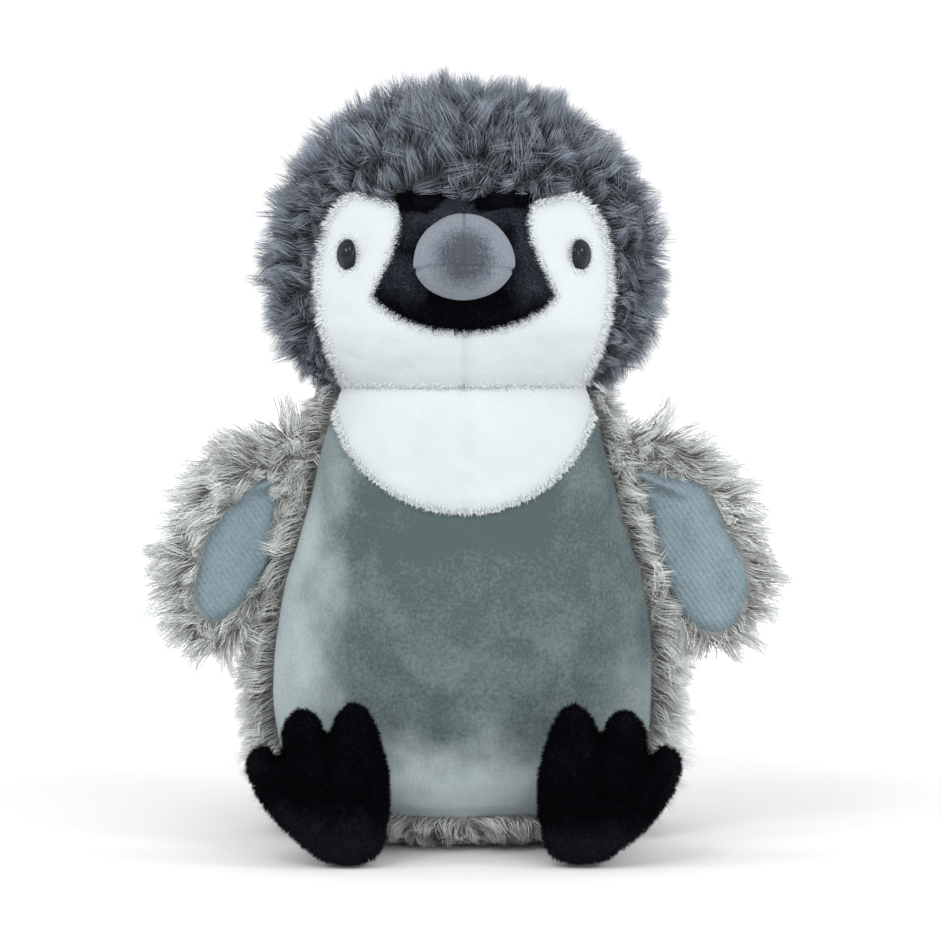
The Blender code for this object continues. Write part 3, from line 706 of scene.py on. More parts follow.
def displaced(bm: bmesh.types.BMesh, amount: Points) -> None:
    """Moves each vertex along its normal.

    Args:
        bm: the mesh.
        amount: how far each vertex moves, in metres.
    """
    bm.normal_update()
    moves = [vert.normal * float(step) for vert, step in zip(bm.verts, amount)]
    for vert, move in zip(bm.verts, moves):
        vert.co += move


def swell(points: Points, size_mm: float, seed: float) -> Points:
    """Slow, smooth waves between -1 and 1, for the unevenness of a filling.

    Args:
        points: where.
        size_mm: the waves' size.
        seed: which waves.

    Returns:
        The wave's height at each point.
    """
    p = points / (size_mm * MM)
    total = np.zeros(len(p))
    for k in range(4):
        turn = np.array([math.sin(seed + 1.7 * k), math.cos(1.3 * seed + k), math.sin(2.1 * seed - k)])
        total += np.sin(p @ turn * (1.0 + 0.4 * k) + seed * (k + 1.0)) / 4.0
    return total


def lumpy(bm: bmesh.types.BMesh, height_mm: float, size_mm: float, seed: float) -> None:
    """Makes a surface uneven by waves of a height and a size."""
    displaced(bm, height_mm * MM * swell(coordinates(bm), size_mm, seed))


def off_line(plane: Points, start: Points, end: Points) -> tuple[Points, Points]:
    """Where points of a plane are against a line.

    Args:
        plane: the points.
        start: the line's start.
        end: the line's end.

    Returns:
        How far along the line each is, 0 to 1, and its offset from it.
    """
    run = end - start
    along = np.clip(((plane - start) @ run) / (run @ run), 0.0, 1.0)
    return along, plane - start - along[:, None] * run


@dataclass(frozen=True)
class Crossing:
    """A joint that a piece crosses: the other body, and a start and an end along the piece. Only whether a
    piece has one is read.
    """

    body: str
    start: Place
    end: Place


def make_piece(name: str, bm: bmesh.types.BMesh, finish: Finish, body: str, nodes: Sequence[str],
               crossing: Crossing | None = None) -> None:
    """Turns a bmesh into a finished piece.

    Args:
        name: the piece's name.
        bm: its mesh, which is freed.
        finish: its finish.
        body: the CAD body that it rides on.
        nodes: the CAD nodes that it stands for.
        crossing: the joint that it crosses, or None.
    """
    mesh = bpy.data.meshes.new(name)
    bm.to_mesh(mesh)
    bm.free()
    mesh.shade_smooth()
    item = bpy.data.objects.new(name, mesh)
    settle(item, finish, body, crossing)
    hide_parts(*nodes)


def settle(item: bpy.types.Object, finish: Finish, body: str,
           crossing: Crossing | None = None) -> None:
    """Dresses a piece and puts it on its body; a piece that crosses a joint is fixed where it is, on no body.

    Args:
        item: the piece.
        finish: its finish.
        body: the CAD body that it rides on.
        crossing: the joint that it crosses, or None.
    """
    bpy.context.scene.collection.objects.link(item)
    item.data.materials.append(finish.material())
    if crossing:
        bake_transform(item)
    else:
        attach(item, body)
    LOG.info("%s on %s, %d faces", item.name, body, len(item.data.polygons))


def panel(source: bmesh.types.BMesh, inside: Callable[[Points], Points], thick_mm: float = 1.4,
          turned_in_mm: float = 1.6, dip_mm: float = 0.9) -> bmesh.types.BMesh:
    """A closed sewn panel, cut from a form with its seam allowance turned in.

    Args:
        source: the form.
        inside: how far inside the panel each point is, in metres.
        thick_mm: the cloth's thickness.
        turned_in_mm: the width of the allowance past the seam.
        dip_mm: how far the allowance goes down at its edge.

    Returns:
        The panel.
    """
    bm = source.copy()
    middles = np.array([face.calc_center_median()[:] for face in bm.faces])
    kept = inside(middles) > -turned_in_mm * MM
    bmesh.ops.delete(bm, geom=[f for f, k in zip(bm.faces, kept) if not k], context="FACES")
    over = 1.0 - fade(inside(coordinates(bm)), -turned_in_mm * MM, 0.9 * MM)
    displaced(bm, -dip_mm * MM * over)
    bm.normal_update()
    inwards = {vert.co.copy().freeze(): vert.normal * (-thick_mm * MM) for vert in bm.verts}
    made = bmesh.ops.extrude_face_region(bm, geom=bm.faces[:], use_keep_orig=True)
    for vert in (item for item in made["geom"] if isinstance(item, bmesh.types.BMVert)):
        vert.co += inwards[vert.co.copy().freeze()]
    bmesh.ops.recalc_face_normals(bm, faces=bm.faces)
    return bm


def billow(bm: bmesh.types.BMesh, held: Callable[[Points], Points], cap_mm: float) -> None:
    """Args:
        bm: the form, whose vertices are moved.
        held: which points the seams hold.
        cap_mm: the most that anything moves.
    """
    scene = bpy.context.scene
    mesh = bpy.data.meshes.new("billow")
    bm.to_mesh(mesh)
    work = bpy.data.objects.new("billow", mesh)
    scene.collection.objects.link(work)
    coarse = work.modifiers.new("coarse", "REMESH")
    coarse.mode, coarse.voxel_size = "VOXEL", CLOTH_CELL
    graph = bpy.context.evaluated_depsgraph_get()
    remeshed = bpy.data.meshes.new_from_object(work.evaluated_get(graph))
    work.modifiers.clear()
    work.data = remeshed
    rest = np.zeros(len(remeshed.vertices) * 3)
    remeshed.vertices.foreach_get("co", rest)
    rest = rest.reshape(-1, 3)
    pins = work.vertex_groups.new(name="held")
    pins.add([int(k) for k in np.flatnonzero(held(rest))], 1.0, "REPLACE")
    cloth = work.modifiers.new("cloth", "CLOTH")
    cloth.settings.use_pressure = True
    cloth.settings.uniform_pressure_force = FILL_PRESSURE
    cloth.settings.vertex_group_mass = "held"
    cloth.settings.quality = 5
    cloth.settings.mass = CLOTH_MASS
    cloth.settings.tension_stiffness = cloth.settings.compression_stiffness = CLOTH_STIFFNESS
    cloth.settings.effector_weights.gravity = 0.0
    cloth.point_cache.frame_start, cloth.point_cache.frame_end = 1, CLOTH_FRAMES
    for step in range(1, CLOTH_FRAMES + 1):
        scene.frame_set(step)
    blown = work.evaluated_get(bpy.context.evaluated_depsgraph_get()).to_mesh()
    moved = np.zeros(len(blown.vertices) * 3)
    blown.vertices.foreach_get("co", moved)
    shift = moved.reshape(-1, 3) - rest
    work.modifiers.clear()
    scene.frame_set(1)
    bpy.data.objects.remove(work)
    size = np.linalg.norm(shift, axis=1, keepdims=True)
    shift *= np.minimum(1.0, cap_mm * MM / np.maximum(size, 1e-9))
    tree = kdtree.KDTree(len(rest))
    for k, point in enumerate(rest):
        tree.insert(point, k)
    tree.balance()
    for vert in bm.verts:
        near = tree.find_n(vert.co, NEIGHBOURS)
        share = np.array([1.0 / (gap * gap + 1e-8) for _, _, gap in near])
        vert.co += Vector((shift[[k for _, k, _ in near]] * share[:, None]).sum(0) / share.sum())
    LOG.info("billowed by up to %.1f mm", size.max() / MM)


# --------------------------------------------------------------------------------------
# Pile
# --------------------------------------------------------------------------------------


@dataclass(frozen=True)
class Pile:
    """How one kind of pile grows. Lengths are in millimetres."""

    length: float
    thick: float
    per_mm2: float
    seed: int
    joints: int
    length_spread: float = 0.25
    stray: float = 0.25
    comb: float = 0.4
    droop: float = 0.0
    lock_mm: float = 3.0
    lock_pull: float = 0.6
    lock_stray: float = 0.4
    lock_spread: float = 0.3
    curl: float = 0.0
    curl_turns: float = 0.8

    def fibre(self) -> tuple[Points, Points, list[tuple[int, ...]]]:
        """One fibre's pattern, three-sided and pointed.

        Returns:
            How far along each of its points is, how far round in radians, and its faces.
        """
        bm = bmesh.new()
        bmesh.ops.create_cone(bm, cap_ends=True, segments=3, radius1=1.0, radius2=0.0, depth=1.0)
        bmesh.ops.translate(bm, vec=(0.0, 0.0, 0.5), verts=bm.verts)
        bmesh.ops.remove_doubles(bm, verts=bm.verts, dist=1e-5)
        for k in range(1, self.joints + 1):
            at = k / (self.joints + 1.0)
            bmesh.ops.bisect_plane(bm, geom=bm.verts[:] + bm.edges[:] + bm.faces[:],
                                   plane_co=(0.0, 0.0, at), plane_no=(0.0, 0.0, 1.0))
        bmesh.ops.recalc_face_normals(bm, faces=bm.faces)
        bm.verts.index_update()
        points = coordinates(bm)
        faces = [tuple(v.index for v in face.verts) for face in bm.faces]
        bm.free()
        return points[:, 2], np.arctan2(points[:, 1], points[:, 0]), faces


@dataclass
class Roots:
    """Where fibres grow, and the way that the cloth faces there."""

    points: Points
    normals: Points

    def where(self, keep: Points) -> "Roots":
        """The kept ones."""
        return Roots(self.points[keep], self.normals[keep])

    @staticmethod
    def scatter(bm: bmesh.types.BMesh, pile: Pile) -> "Roots":
        """Even random places over a skin, as close together as its pile is.

        Args:
            bm: the skin, left as it is.
            pile: the pile.

        Returns:
            The places.
        """
        rng = np.random.default_rng(pile.seed)
        bm.normal_update()
        corners = np.array([[loop.vert.co[:] for loop in tri] for tri in bm.calc_loop_triangles()])
        tilt = np.array([[loop.vert.normal[:] for loop in tri] for tri in bm.calc_loop_triangles()])
        cross = np.cross(corners[:, 1] - corners[:, 0], corners[:, 2] - corners[:, 0])
        area = np.linalg.norm(cross, axis=1) / 2.0
        count = int(area.sum() / MM**2 * pile.per_mm2)
        pick = rng.choice(len(area), count, p=area / area.sum())
        a, b = rng.random(count), rng.random(count)
        over = a + b > 1.0
        a[over], b[over] = 1.0 - a[over], 1.0 - b[over]
        share = np.stack([1.0 - a - b, a, b], axis=1)[:, :, None]
        return Roots((corners[pick] * share).sum(1), unit((tilt[pick] * share).sum(1)))


def grow_pile(name: str, roots: Roots, pile: Pile, comb: Points, scale: Points,
              seed: int) -> bpy.types.Object:
    """Grows one mesh of fibres.

    Args:
        name: the piece's name.
        roots: where the fibres grow.
        pile: how they grow.
        comb: the way that each is combed, a row each.
        scale: each fibre's share of the full length.
        seed: of the random draws.

    Returns:
        The fibres, with the map strand: chance across, root to tip up.
    """
    rng = np.random.default_rng(seed)
    count = len(roots.points)
    along, angle, faces = pile.fibre()
    locks = max(int(count / (pile.per_mm2 * pile.lock_mm**2)), 1)
    heads = rng.choice(count, locks, replace=False)
    tree = kdtree.KDTree(locks)
    for k, head in enumerate(heads):
        tree.insert(roots.points[head], k)
    tree.balance()
    mine = heads[np.array([tree.find(p)[1] for p in roots.points])]
    stray = rng.normal(size=(count, 3)) * pile.stray
    stray[heads] = rng.normal(size=(locks, 3)) * pile.lock_stray
    spread = np.full(count, pile.length_spread)
    spread[heads] = pile.lock_spread
    lead = unit(roots.normals + comb * pile.comb + stray)
    length = pile.length * MM * scale * (1.0 + spread * (rng.random(count) * 2.0 - 1.0))
    side = unit(np.cross(lead, rng.normal(size=(count, 3))))
    other = np.cross(lead, side)
    phase = (rng.random(count) * math.tau)[mine] + rng.normal(size=count) * 0.35

    def spine(t: float, who: Points) -> Points:
        """Where the middle lines of fibres are.

        Args:
            t: how far along them, 0 to 1.
            who: which fibres.

        Returns:
            A point for each.
        """
        run = (roots.points + lead * (length * t)[:, None])[who]
        run = run + DOWN * (length * pile.droop * t * t)[who][:, None]
        turn = phase[who] + t * math.tau * pile.curl_turns
        bow = pile.curl * MM * t ** 1.2
        led = mine[who]
        return run + bow * (np.cos(turn)[:, None] * side[led] + np.sin(turn)[:, None] * other[led])

    everyone = np.arange(count)
    pull = pile.lock_pull * (0.65 + 0.35 * rng.random(count))
    rows = np.zeros((count, len(along), 3))
    for t in np.unique(along):
        own, led = spine(t, everyone), spine(t, mine)
        middle = own + (led - own) * (pull * t ** 1.1)[:, None]
        radius = pile.thick * MM * 0.5 * (1.0 - t) ** 0.6
        for k in np.flatnonzero(along == t):
            rows[:, k] = middle + radius * (math.cos(angle[k]) * side + math.sin(angle[k]) * other)
    wide = np.abs(rows[:, :, 0]) - REACH
    held = np.where(wide > 0.0, GIVE * np.tanh(np.maximum(wide, 0.0) / GIVE), wide)
    rows[:, :, 0] = np.sign(rows[:, :, 0]) * (REACH + held)
    rows[:, :, 2] = np.where(rows[:, :, 2] < MM, MM * np.exp(np.minimum(rows[:, :, 2] / MM - 1.0, 0.0)),
                             rows[:, :, 2])
    loops = np.concatenate([np.array(face) for face in faces])
    starts = np.cumsum([0] + [len(face) for face in faces])[:-1]
    mesh = bpy.data.meshes.new(name)
    mesh.vertices.add(rows.shape[0] * rows.shape[1])
    mesh.vertices.foreach_set("co", rows.astype(np.float32).ravel())
    mesh.loops.add(count * len(loops))
    every = everyone[:, None]
    mesh.loops.foreach_set("vertex_index", (loops[None] + every * len(along)).astype(np.int32).ravel())
    mesh.polygons.add(count * len(faces))
    mesh.polygons.foreach_set("loop_start", (starts[None] + every * len(loops)).astype(np.int32).ravel())
    strand = mesh.uv_layers.new(name="strand")
    chance = np.repeat(rng.random(count), len(loops))
    strand_rows = np.stack([chance, np.tile(along[loops], count)], 1)
    strand.uv.foreach_set("vector", strand_rows.astype(np.float32).ravel())
    mesh.update(calc_edges=True)
    mesh.validate()
    mesh.shade_smooth()
    return bpy.data.objects.new(name, mesh)


@dataclass
class Coat:
    """A stretch of pile: where it grows, how, and what it is dressed in."""

    name: str
    roots: Roots
    pile: Pile
    finish: Finish
    body: str
    slot: str
    comb: Callable[[Roots], Points]
    scale: Callable[[Points], Points]

    def grow(self) -> None:
        """Grows the coat, in as many pieces as keep each one light."""
        most = MOST_TRIANGLES // (4 + 6 * self.pile.joints)
        parts = -(-len(self.roots.points) // most)
        order = np.argsort(self.roots.points[:, 2])
        for k, chosen in enumerate(np.array_split(order, parts)):
            roots = self.roots.where(chosen)
            item = grow_pile(f"{self.name}_{k + 1}", roots, self.pile, self.comb(roots),
                             self.scale(roots.points), self.pile.seed + 1 + k)
            settle(item, self.finish, self.body)


# --------------------------------------------------------------------------------------
# The toy's parts
# --------------------------------------------------------------------------------------

TORSO_FORM = StuffedForm(
    knots=((0, 1), (24, 1), (46, 3), (60, 8), (69, 16), (76, 30), (79.5, 52), (79, 78), (76, 100), (70, 121),
           (63.5, 141), (58, 158), (54, 170), (50, 179), (40, 188), (20, 194), (0, 196)),
    centre_y=(12.0, 5.0), depth=(0.79, 0.90), change_z=(120.0, 179.0))
HEAD_FORM = StuffedForm(
    knots=((0, 170), (26, 172), (43, 176), (53, 183), (60, 192), (66, 204), (68.5, 218), (68, 230),
           (65.5, 243), (59.5, 258), (49.5, 270.5), (35, 280), (18, 286), (0, 287.5)),
    centre_y=(5.0, 5.0), depth=(0.90, 0.83), change_z=(179.0, 215.0))
BELLY_SIDE_Y = -7.0 * MM
BELLY_BASE_Z = 14.0 * MM
NECK_Z = 181.0 * MM  # where the torso's pile stops under the head
SIDE_LEAN = 0.9  # how far across the cloth a step in Y goes at the side seam
SEAM_HOLD = 4.0 * MM
BIB = Outline(tuple((53.0 * math.cos(a), 181.0 + 50.0 * math.sin(a))
                    for a in (math.tau * k / 20.0 for k in range(20))))
FACE = Outline(both_halves(((0, 150), (24, 158), (43, 168), (49, 184), (55, 200), (57.5, 222), (54.5, 239),
                            (48, 250), (40.5, 253.5), (30, 251), (20, 249), (0, 248))))
BROW = Outline(both_halves(((0, 201.7), (8, 202.3), (17, 204.2), (26, 208.2), (33.3, 213.9), (31, 221),
                            (27, 229), (23.8, 240.4), (24.6, 248), (26, 252.5), (20, 254.6),
                            (13, 254.6), (6, 252), (0, 250.5))))
WING_LINING = {
    Side.RIGHT: ((9.8, -4.6), (25.4, -16.5), (34.2, -27.7), (38.6, -41.4), (39.9, -53.2), (33.5, -61.1),
                 (24, -56.6), (17.5, -50.1), (9.5, -39), (7.9, -23)),
    Side.LEFT: ((1.8, -3), (24.1, -6.1), (32.9, -16.5), (36.8, -25.3), (43.4, -36.6), (45.4, -46.9),
                (43.9, -55.8), (37.8, -64.2), (30.7, -65.8), (22.7, -62.2), (16.2, -54), (13, -43),
                (8.3, -30.1), (5.8, -16.5))}
FOOT = ((40, 0.6), (52, 1.8), (66, 12), (75, 22), (80.5, 32), (82, 41), (75.5, 46.5), (70.4, 44.5),
        (68.2, 53), (62, 60.2), (55.5, 57.5), (51.6, 52.5), (48, 57.5), (42, 62.3), (35.5, 58), (31, 47),
        (28, 34), (28.5, 18), (31.5, 6))


def from_front(outline: Outline, points: Points, back_y: float) -> Points:
    """How far inside an outline seen from the front each point is; far outside behind back_y."""
    return np.where(points[:, 1] < back_y, outline.signed(points[:, [0, 2]]), OUTSIDE)


def in_face(points: Points) -> Points:
    """How far inside the white face each point is."""
    return from_front(FACE, points, FACE_BACK_Y)


def in_brow(points: Points) -> Points:
    """How far inside the black brow mask each point is."""
    return from_front(BROW, points, FACE_BACK_Y)


def in_belly(points: Points) -> Points:
    """How far each point is inside the velour front, behind its side and base seams."""
    side = (BELLY_SIDE_Y - points[:, 1]) * 0.9
    base = points[:, 2] - BELLY_BASE_Z
    return np.minimum(side, base)


def in_bib(points: Points) -> Points:
    """How far inside the white bib each point is."""
    return from_front(BIB, points, BELLY_SIDE_Y)


def by_seam(distance: Points) -> Points:
    """Which points a seam holds, given how far they are from it."""
    return np.abs(distance) < SEAM_HOLD


def away_from(point: Place, roots: Roots) -> Points:
    """Combed away from a point, along the cloth."""
    away = roots.points - np.array(point)
    away -= roots.normals * (away * roots.normals).sum(1)[:, None]
    return unit(away)


@dataclass
class Torso:
    """The body: velour front, white bib, fur back, sitting base, filling and pellet pouch."""

    form: StuffedForm = TORSO_FORM
    around: int = 176
    rings: int = 132
    seat_hold_z: float = 12 * MM
    neck_hold_z: float = 172 * MM
    billow_mm: float = 2.5
    flat_z: float = 0.004
    bib_border: float = 3.6 * MM
    pouch_radii: Place = (43.0, 34.0, 12.0)
    pouch_centre: Place = (0.0, 11.0, 21.0)
    back_pile: Pile = Pile(length=14.0, thick=0.42, per_mm2=0.95, seed=11, joints=1, stray=0.40, comb=0.55,
                           droop=0.10, lock_mm=4.6, lock_pull=0.80, curl=2.2, curl_turns=0.8,
                           lock_stray=0.62)
    bib_pile: Pile = Pile(length=1.9, thick=0.42, per_mm2=3.6, seed=21, joints=0, stray=0.35, comb=0.9,
                          lock_mm=1.6, lock_pull=0.25, lock_stray=0.35)

    def skin(self) -> bmesh.types.BMesh:
        """The torso's whole skin, blown up and with its seams drawn in.

        Returns:
            The closed skin, before it is cut into panels.
        """
        bm = self.form.build(self.around, self.rings)
        billow(bm, lambda q: (by_seam(in_belly(q)) | by_seam(in_bib(q)) | (q[:, 2] < self.seat_hold_z)
                              | (q[:, 2] > self.neck_hold_z)), self.billow_mm)
        p = coordinates(bm)
        belly, bib = in_belly(p), in_bib(p)
        groove = 1.7 * ridge(belly, 2.6 * MM) + 1.5 * ridge(bib, 2.4 * MM)
        plump = 0.9 * swell(p, 21.0, 3.0) + 0.5 * swell(p, 9.0, 8.0)
        middle = 1.0 * ridge(p[:, 0], 2.5 * MM) * (bib > 0)
        displaced(bm, np.where(p[:, 2] < self.flat_z, 0.0, (plump - groove - middle) * MM))
        return bm

    def build(self) -> None:
        """Cuts the panels, fills them and grows their pile."""
        skin = self.skin()
        make_piece("belly_cover", panel(skin, lambda p: np.minimum(in_belly(p), -in_bib(p))),
                   BELLY_VELOUR, "torso", ("belly_panel",))
        for side in Side:
            word, mine = side.word, side.value
            bib = panel(skin, lambda p: np.minimum(in_bib(p), p[:, 0] * mine), dip_mm=0.5)
            make_piece(f"bib_cover_{word}", bib, WHITE_CLOTH, "torso", (f"bib_{word}",))
            make_piece(f"back_skin_{word}", panel(skin, lambda p: self.in_back(p, mine)), TAUPE_BACKING_AND_SHADE,
                       "torso", (f"back_fur_{word}",))
        make_piece("seat_cover", panel(skin, lambda p: BELLY_BASE_Z - p[:, 2]), TAUPE_BACKING_AND_SHADE, "torso",
                   ("seat_panel",))
        make_piece("torso_stuffing", self.form.filling(5.0), FIBRE_FILL, "torso", ("torso_filling",))
        pouch = ovoid(self.pouch_radii, self.pouch_centre, 72, 48)
        lumpy(pouch, 0.7, 4.0, 2.0)
        make_piece("pouch", pouch, POUCH_WEAVE, "torso", ("pellet_pouch",))
        self.furnish(skin)
        skin.free()

    def in_back(self, p: Points, mine: int) -> Points:
        """How far inside one half of the back each point is."""
        side = (p[:, 1] - BELLY_SIDE_Y) * SIDE_LEAN
        return np.minimum.reduce([side, p[:, 2] - BELLY_BASE_Z, -in_bib(p), p[:, 0] * mine])

    def furnish(self, skin: bmesh.types.BMesh) -> None:
        """Grows fur on the back and the seat, and short pile along the bib's borders.

        Args:
            skin: the torso's whole skin.
        """
        roots = Roots.scatter(skin, self.back_pile)
        p = roots.points
        back = roots.where((in_belly(p) <= 0.5 * MM) & (in_bib(p) <= 0) & (p[:, 2] < NECK_Z))
        for name, half in (("back_fur_left", back.points[:, 0] > 0),
                           ("back_fur_right", back.points[:, 0] <= 0)):
            Coat(name, back.where(half), self.back_pile, TAUPE_FUR, "torso", "taupe_fur", self.brushed,
                 self.back_length).grow()
        bib = Roots.scatter(skin, self.bib_pile)
        edge = np.minimum(in_bib(bib.points), NECK_Z - bib.points[:, 2])
        bib = bib.where(near_edge(edge, self.bib_border, self.bib_pile.seed + 2))
        Coat("bib_plush", bib, self.bib_pile, WHITE_PILE, "torso", "white_plush",
             lambda r: np.tile(DOWN * 0.8, (len(r.points), 1)),
             lambda q: 0.75 + 0.5 * fade(-in_bib(q), -4 * MM, 0.0)).grow()

    def brushed(self, roots: Roots) -> Points:
        """Combed down and round to the sides."""
        count = len(roots.points)
        return np.stack([np.sign(roots.points[:, 0]), np.full(count, -0.15), np.full(count, -0.75)], axis=1)

    def back_length(self, p: Points) -> Points:
        """Shorter on the underside, so that the toy still sits flat, and at the neck."""
        under = 0.2 + 0.8 * fade(p[:, 2], 1.0 * MM, 22.0 * MM)
        return under * (1.0 - 0.35 * fade(p[:, 2], 160 * MM, NECK_Z))


@dataclass(frozen=True)
class Swelling:
    """A round swelling on the front and its match on the other side, in metres; its height in mm."""

    x: float
    z: float
    width: float
    height_mm: float
    across: float = 1.0
    up: float = 1.0

    def on(self, p: Points) -> Points:
        """How high it stands at each point.

        Args:
            p: points of the skin.

        Returns:
            Its height there, in millimetres.
        """
        total = np.zeros(len(p))
        for x in (-self.x, self.x):
            away = np.hypot((p[:, 0] - x) * self.across, (p[:, 2] - self.z) * self.up)
            total += self.height_mm * ridge(away, self.width) * (p[:, 1] < 0.0)
        return total


@dataclass
class Head:
    """The head: fur hood, white cheeks, black brow mask and the plug in the neck."""

    form: StuffedForm = HEAD_FORM
    around: int = 176
    rings: int = 112
    neck_hold_z: float = 182 * MM
    billow_mm: float = 2.0
    cheeks: Swelling = Swelling(0.038, 0.203, 0.021, 3.2, up=1.1)
    sockets: Swelling = Swelling(0.0435, 0.230, 0.008, 0.6)
    hollows: Swelling = Swelling(0.014, 0.2505, 0.0042, 3.4, across=0.55)
    chin_z: float = 0.203
    cheek_border: float = 4.0 * MM
    plug_radii: Place = (26.0, 24.0, 20.0)
    plug_centre: Place = (0.0, 5.0, 160.0)
    hood_pile: Pile = Pile(length=15.6, thick=0.40, per_mm2=1.42, seed=41, joints=1, stray=0.42, comb=0.25,
                           lock_mm=4.7, lock_pull=0.84, curl=2.2, curl_turns=0.7, lock_stray=0.64)
    cheek_pile: Pile = Pile(length=2.1, thick=0.42, per_mm2=3.6, seed=51, joints=0, stray=0.35, comb=0.9,
                            lock_mm=1.7, lock_pull=0.25, lock_stray=0.35)
    brow_pile: Pile = Pile(length=2.5, thick=0.30, per_mm2=4.6, seed=61, joints=0, stray=0.5, comb=0.45,
                           lock_mm=1.3, lock_pull=0.3)
    crown: Place = (0.0, -0.052, 0.236)

    def skin(self) -> bmesh.types.BMesh:
        """The head's whole skin, with its seams, cheeks and brow hollows.

        Returns:
            The closed skin, before it is cut into panels.
        """
        bm = self.form.build(self.around, self.rings)
        billow(bm, lambda q: by_seam(in_face(q)) | by_seam(in_brow(q)) | (q[:, 2] < self.neck_hold_z),
               self.billow_mm)
        p = coordinates(bm)
        face = in_face(p)
        seam = 1.4 * ridge(face, 2.6 * MM) + 1.1 * ridge(in_brow(p), 2.0 * MM) * (face > 0)
        chin = 1.6 * ridge(p[:, 0], 2.4 * MM) * (p[:, 2] < self.chin_z) * (p[:, 1] < 0.0)
        raised = 0.8 * swell(p, 17.0, 6.0) + self.cheeks.on(p)
        displaced(bm, (raised - seam - chin - self.sockets.on(p) - self.hollows.on(p)) * MM)
        return bm

    def build(self) -> None:
        """Cuts the panels, fills them and grows their pile."""
        skin = self.skin()
        for side in Side:
            word, mine = side.word, side.value
            hood = panel(skin, lambda p: np.minimum.reduce([-in_face(p), -in_brow(p), p[:, 0] * mine]))
            make_piece(f"hood_skin_{word}", hood, SLATE_BACKING_AND_SHADE, "head", (f"hood_{word}",))
            cheek = panel(skin, lambda p: np.minimum.reduce([in_face(p), -in_brow(p), p[:, 0] * mine]),
                          dip_mm=0.5)
            make_piece(f"cheek_cover_{word}", cheek, WHITE_CLOTH, "head", (f"cheek_{word}",))
        make_piece("brow_cover", panel(skin, in_brow), MASK_PLUSH, "head", ("brow_mask",))
        make_piece("head_stuffing", self.form.filling(9.0), FIBRE_FILL, "head", ("head_filling",))
        self.furnish(skin)
        skin.free()
        plug = ovoid(self.plug_radii, self.plug_centre)
        lumpy(plug, 0.8, 6.0, 4.0)
        make_piece("neck_stuffing", plug, FIBRE_FILL, "neck", ("neck_filling",))

    def furnish(self, skin: bmesh.types.BMesh) -> None:
        """Grows the long hood, the white cheeks and the short black brow.

        Args:
            skin: the head's whole skin.
        """
        roots = Roots.scatter(skin, self.hood_pile)
        p = roots.points
        hood = roots.where((in_face(p) <= 0.3 * MM) & (in_brow(p) <= 0.3 * MM) & (p[:, 2] > 0.176))
        for name, half in (("hood_fur_left", hood.points[:, 0] > 0),
                           ("hood_fur_right", hood.points[:, 0] <= 0)):
            Coat(name, hood.where(half), self.hood_pile, SLATE_FUR, "head", "slate_fur", self.over_crown,
                 self.hood_length).grow()
        cheek = Roots.scatter(skin, self.cheek_pile)
        p = cheek.points
        eye = np.hypot((np.abs(p[:, 0]) - 0.0445) * 1.7, p[:, 2] - 0.230) - 5.4 * MM
        edge = np.minimum.reduce([in_face(p), -in_brow(p), eye, p[:, 2] - 0.178])
        cheek = cheek.where(near_edge(edge, self.cheek_border, self.cheek_pile.seed + 2))
        Coat("cheek_plush", cheek, self.cheek_pile, WHITE_PILE, "head", "white_plush",
             lambda r: away_from(self.crown, r),
             lambda q: 0.7 + 0.7 * fade(-in_face(q), -5 * MM, 0.0)).grow()
        brow = Roots.scatter(skin, self.brow_pile)
        p = brow.points
        beak = ((p[:, 0] / 0.0195) ** 2 + ((p[:, 2] - 0.2295) / 0.0163) ** 2) < 0.85
        hollow = np.hypot((np.abs(p[:, 0]) - self.hollows.x) * 0.5, p[:, 2] - self.hollows.z) < 2.6 * MM
        Coat("brow_plush", brow.where((in_brow(p) > 0) & ~beak & ~hollow), self.brow_pile, MASK_PLUSH,
             "head", "black_plush", lambda r: away_from(self.crown, r),
             lambda q: 0.8 + 0.5 * fade(-in_brow(q), -4 * MM, 0.0)).grow()

    def over_crown(self, roots: Roots) -> Points:
        """Combed away from the middle of the brow, over the crown and down behind."""
        return away_from(self.crown, roots) + DOWN * 0.25 * fade(roots.points[:, 1], -0.02, 0.04)[:, None]

    def hood_length(self, p: Points) -> Points:
        """Shorter right at the brow and round the face, and at the neck."""
        rim = 0.45 + 0.55 * fade(-np.maximum(in_face(p), in_brow(p)), 0.0, 11.0 * MM)
        return rim * (0.55 + 0.45 * fade(p[:, 2], 0.178, 0.200))


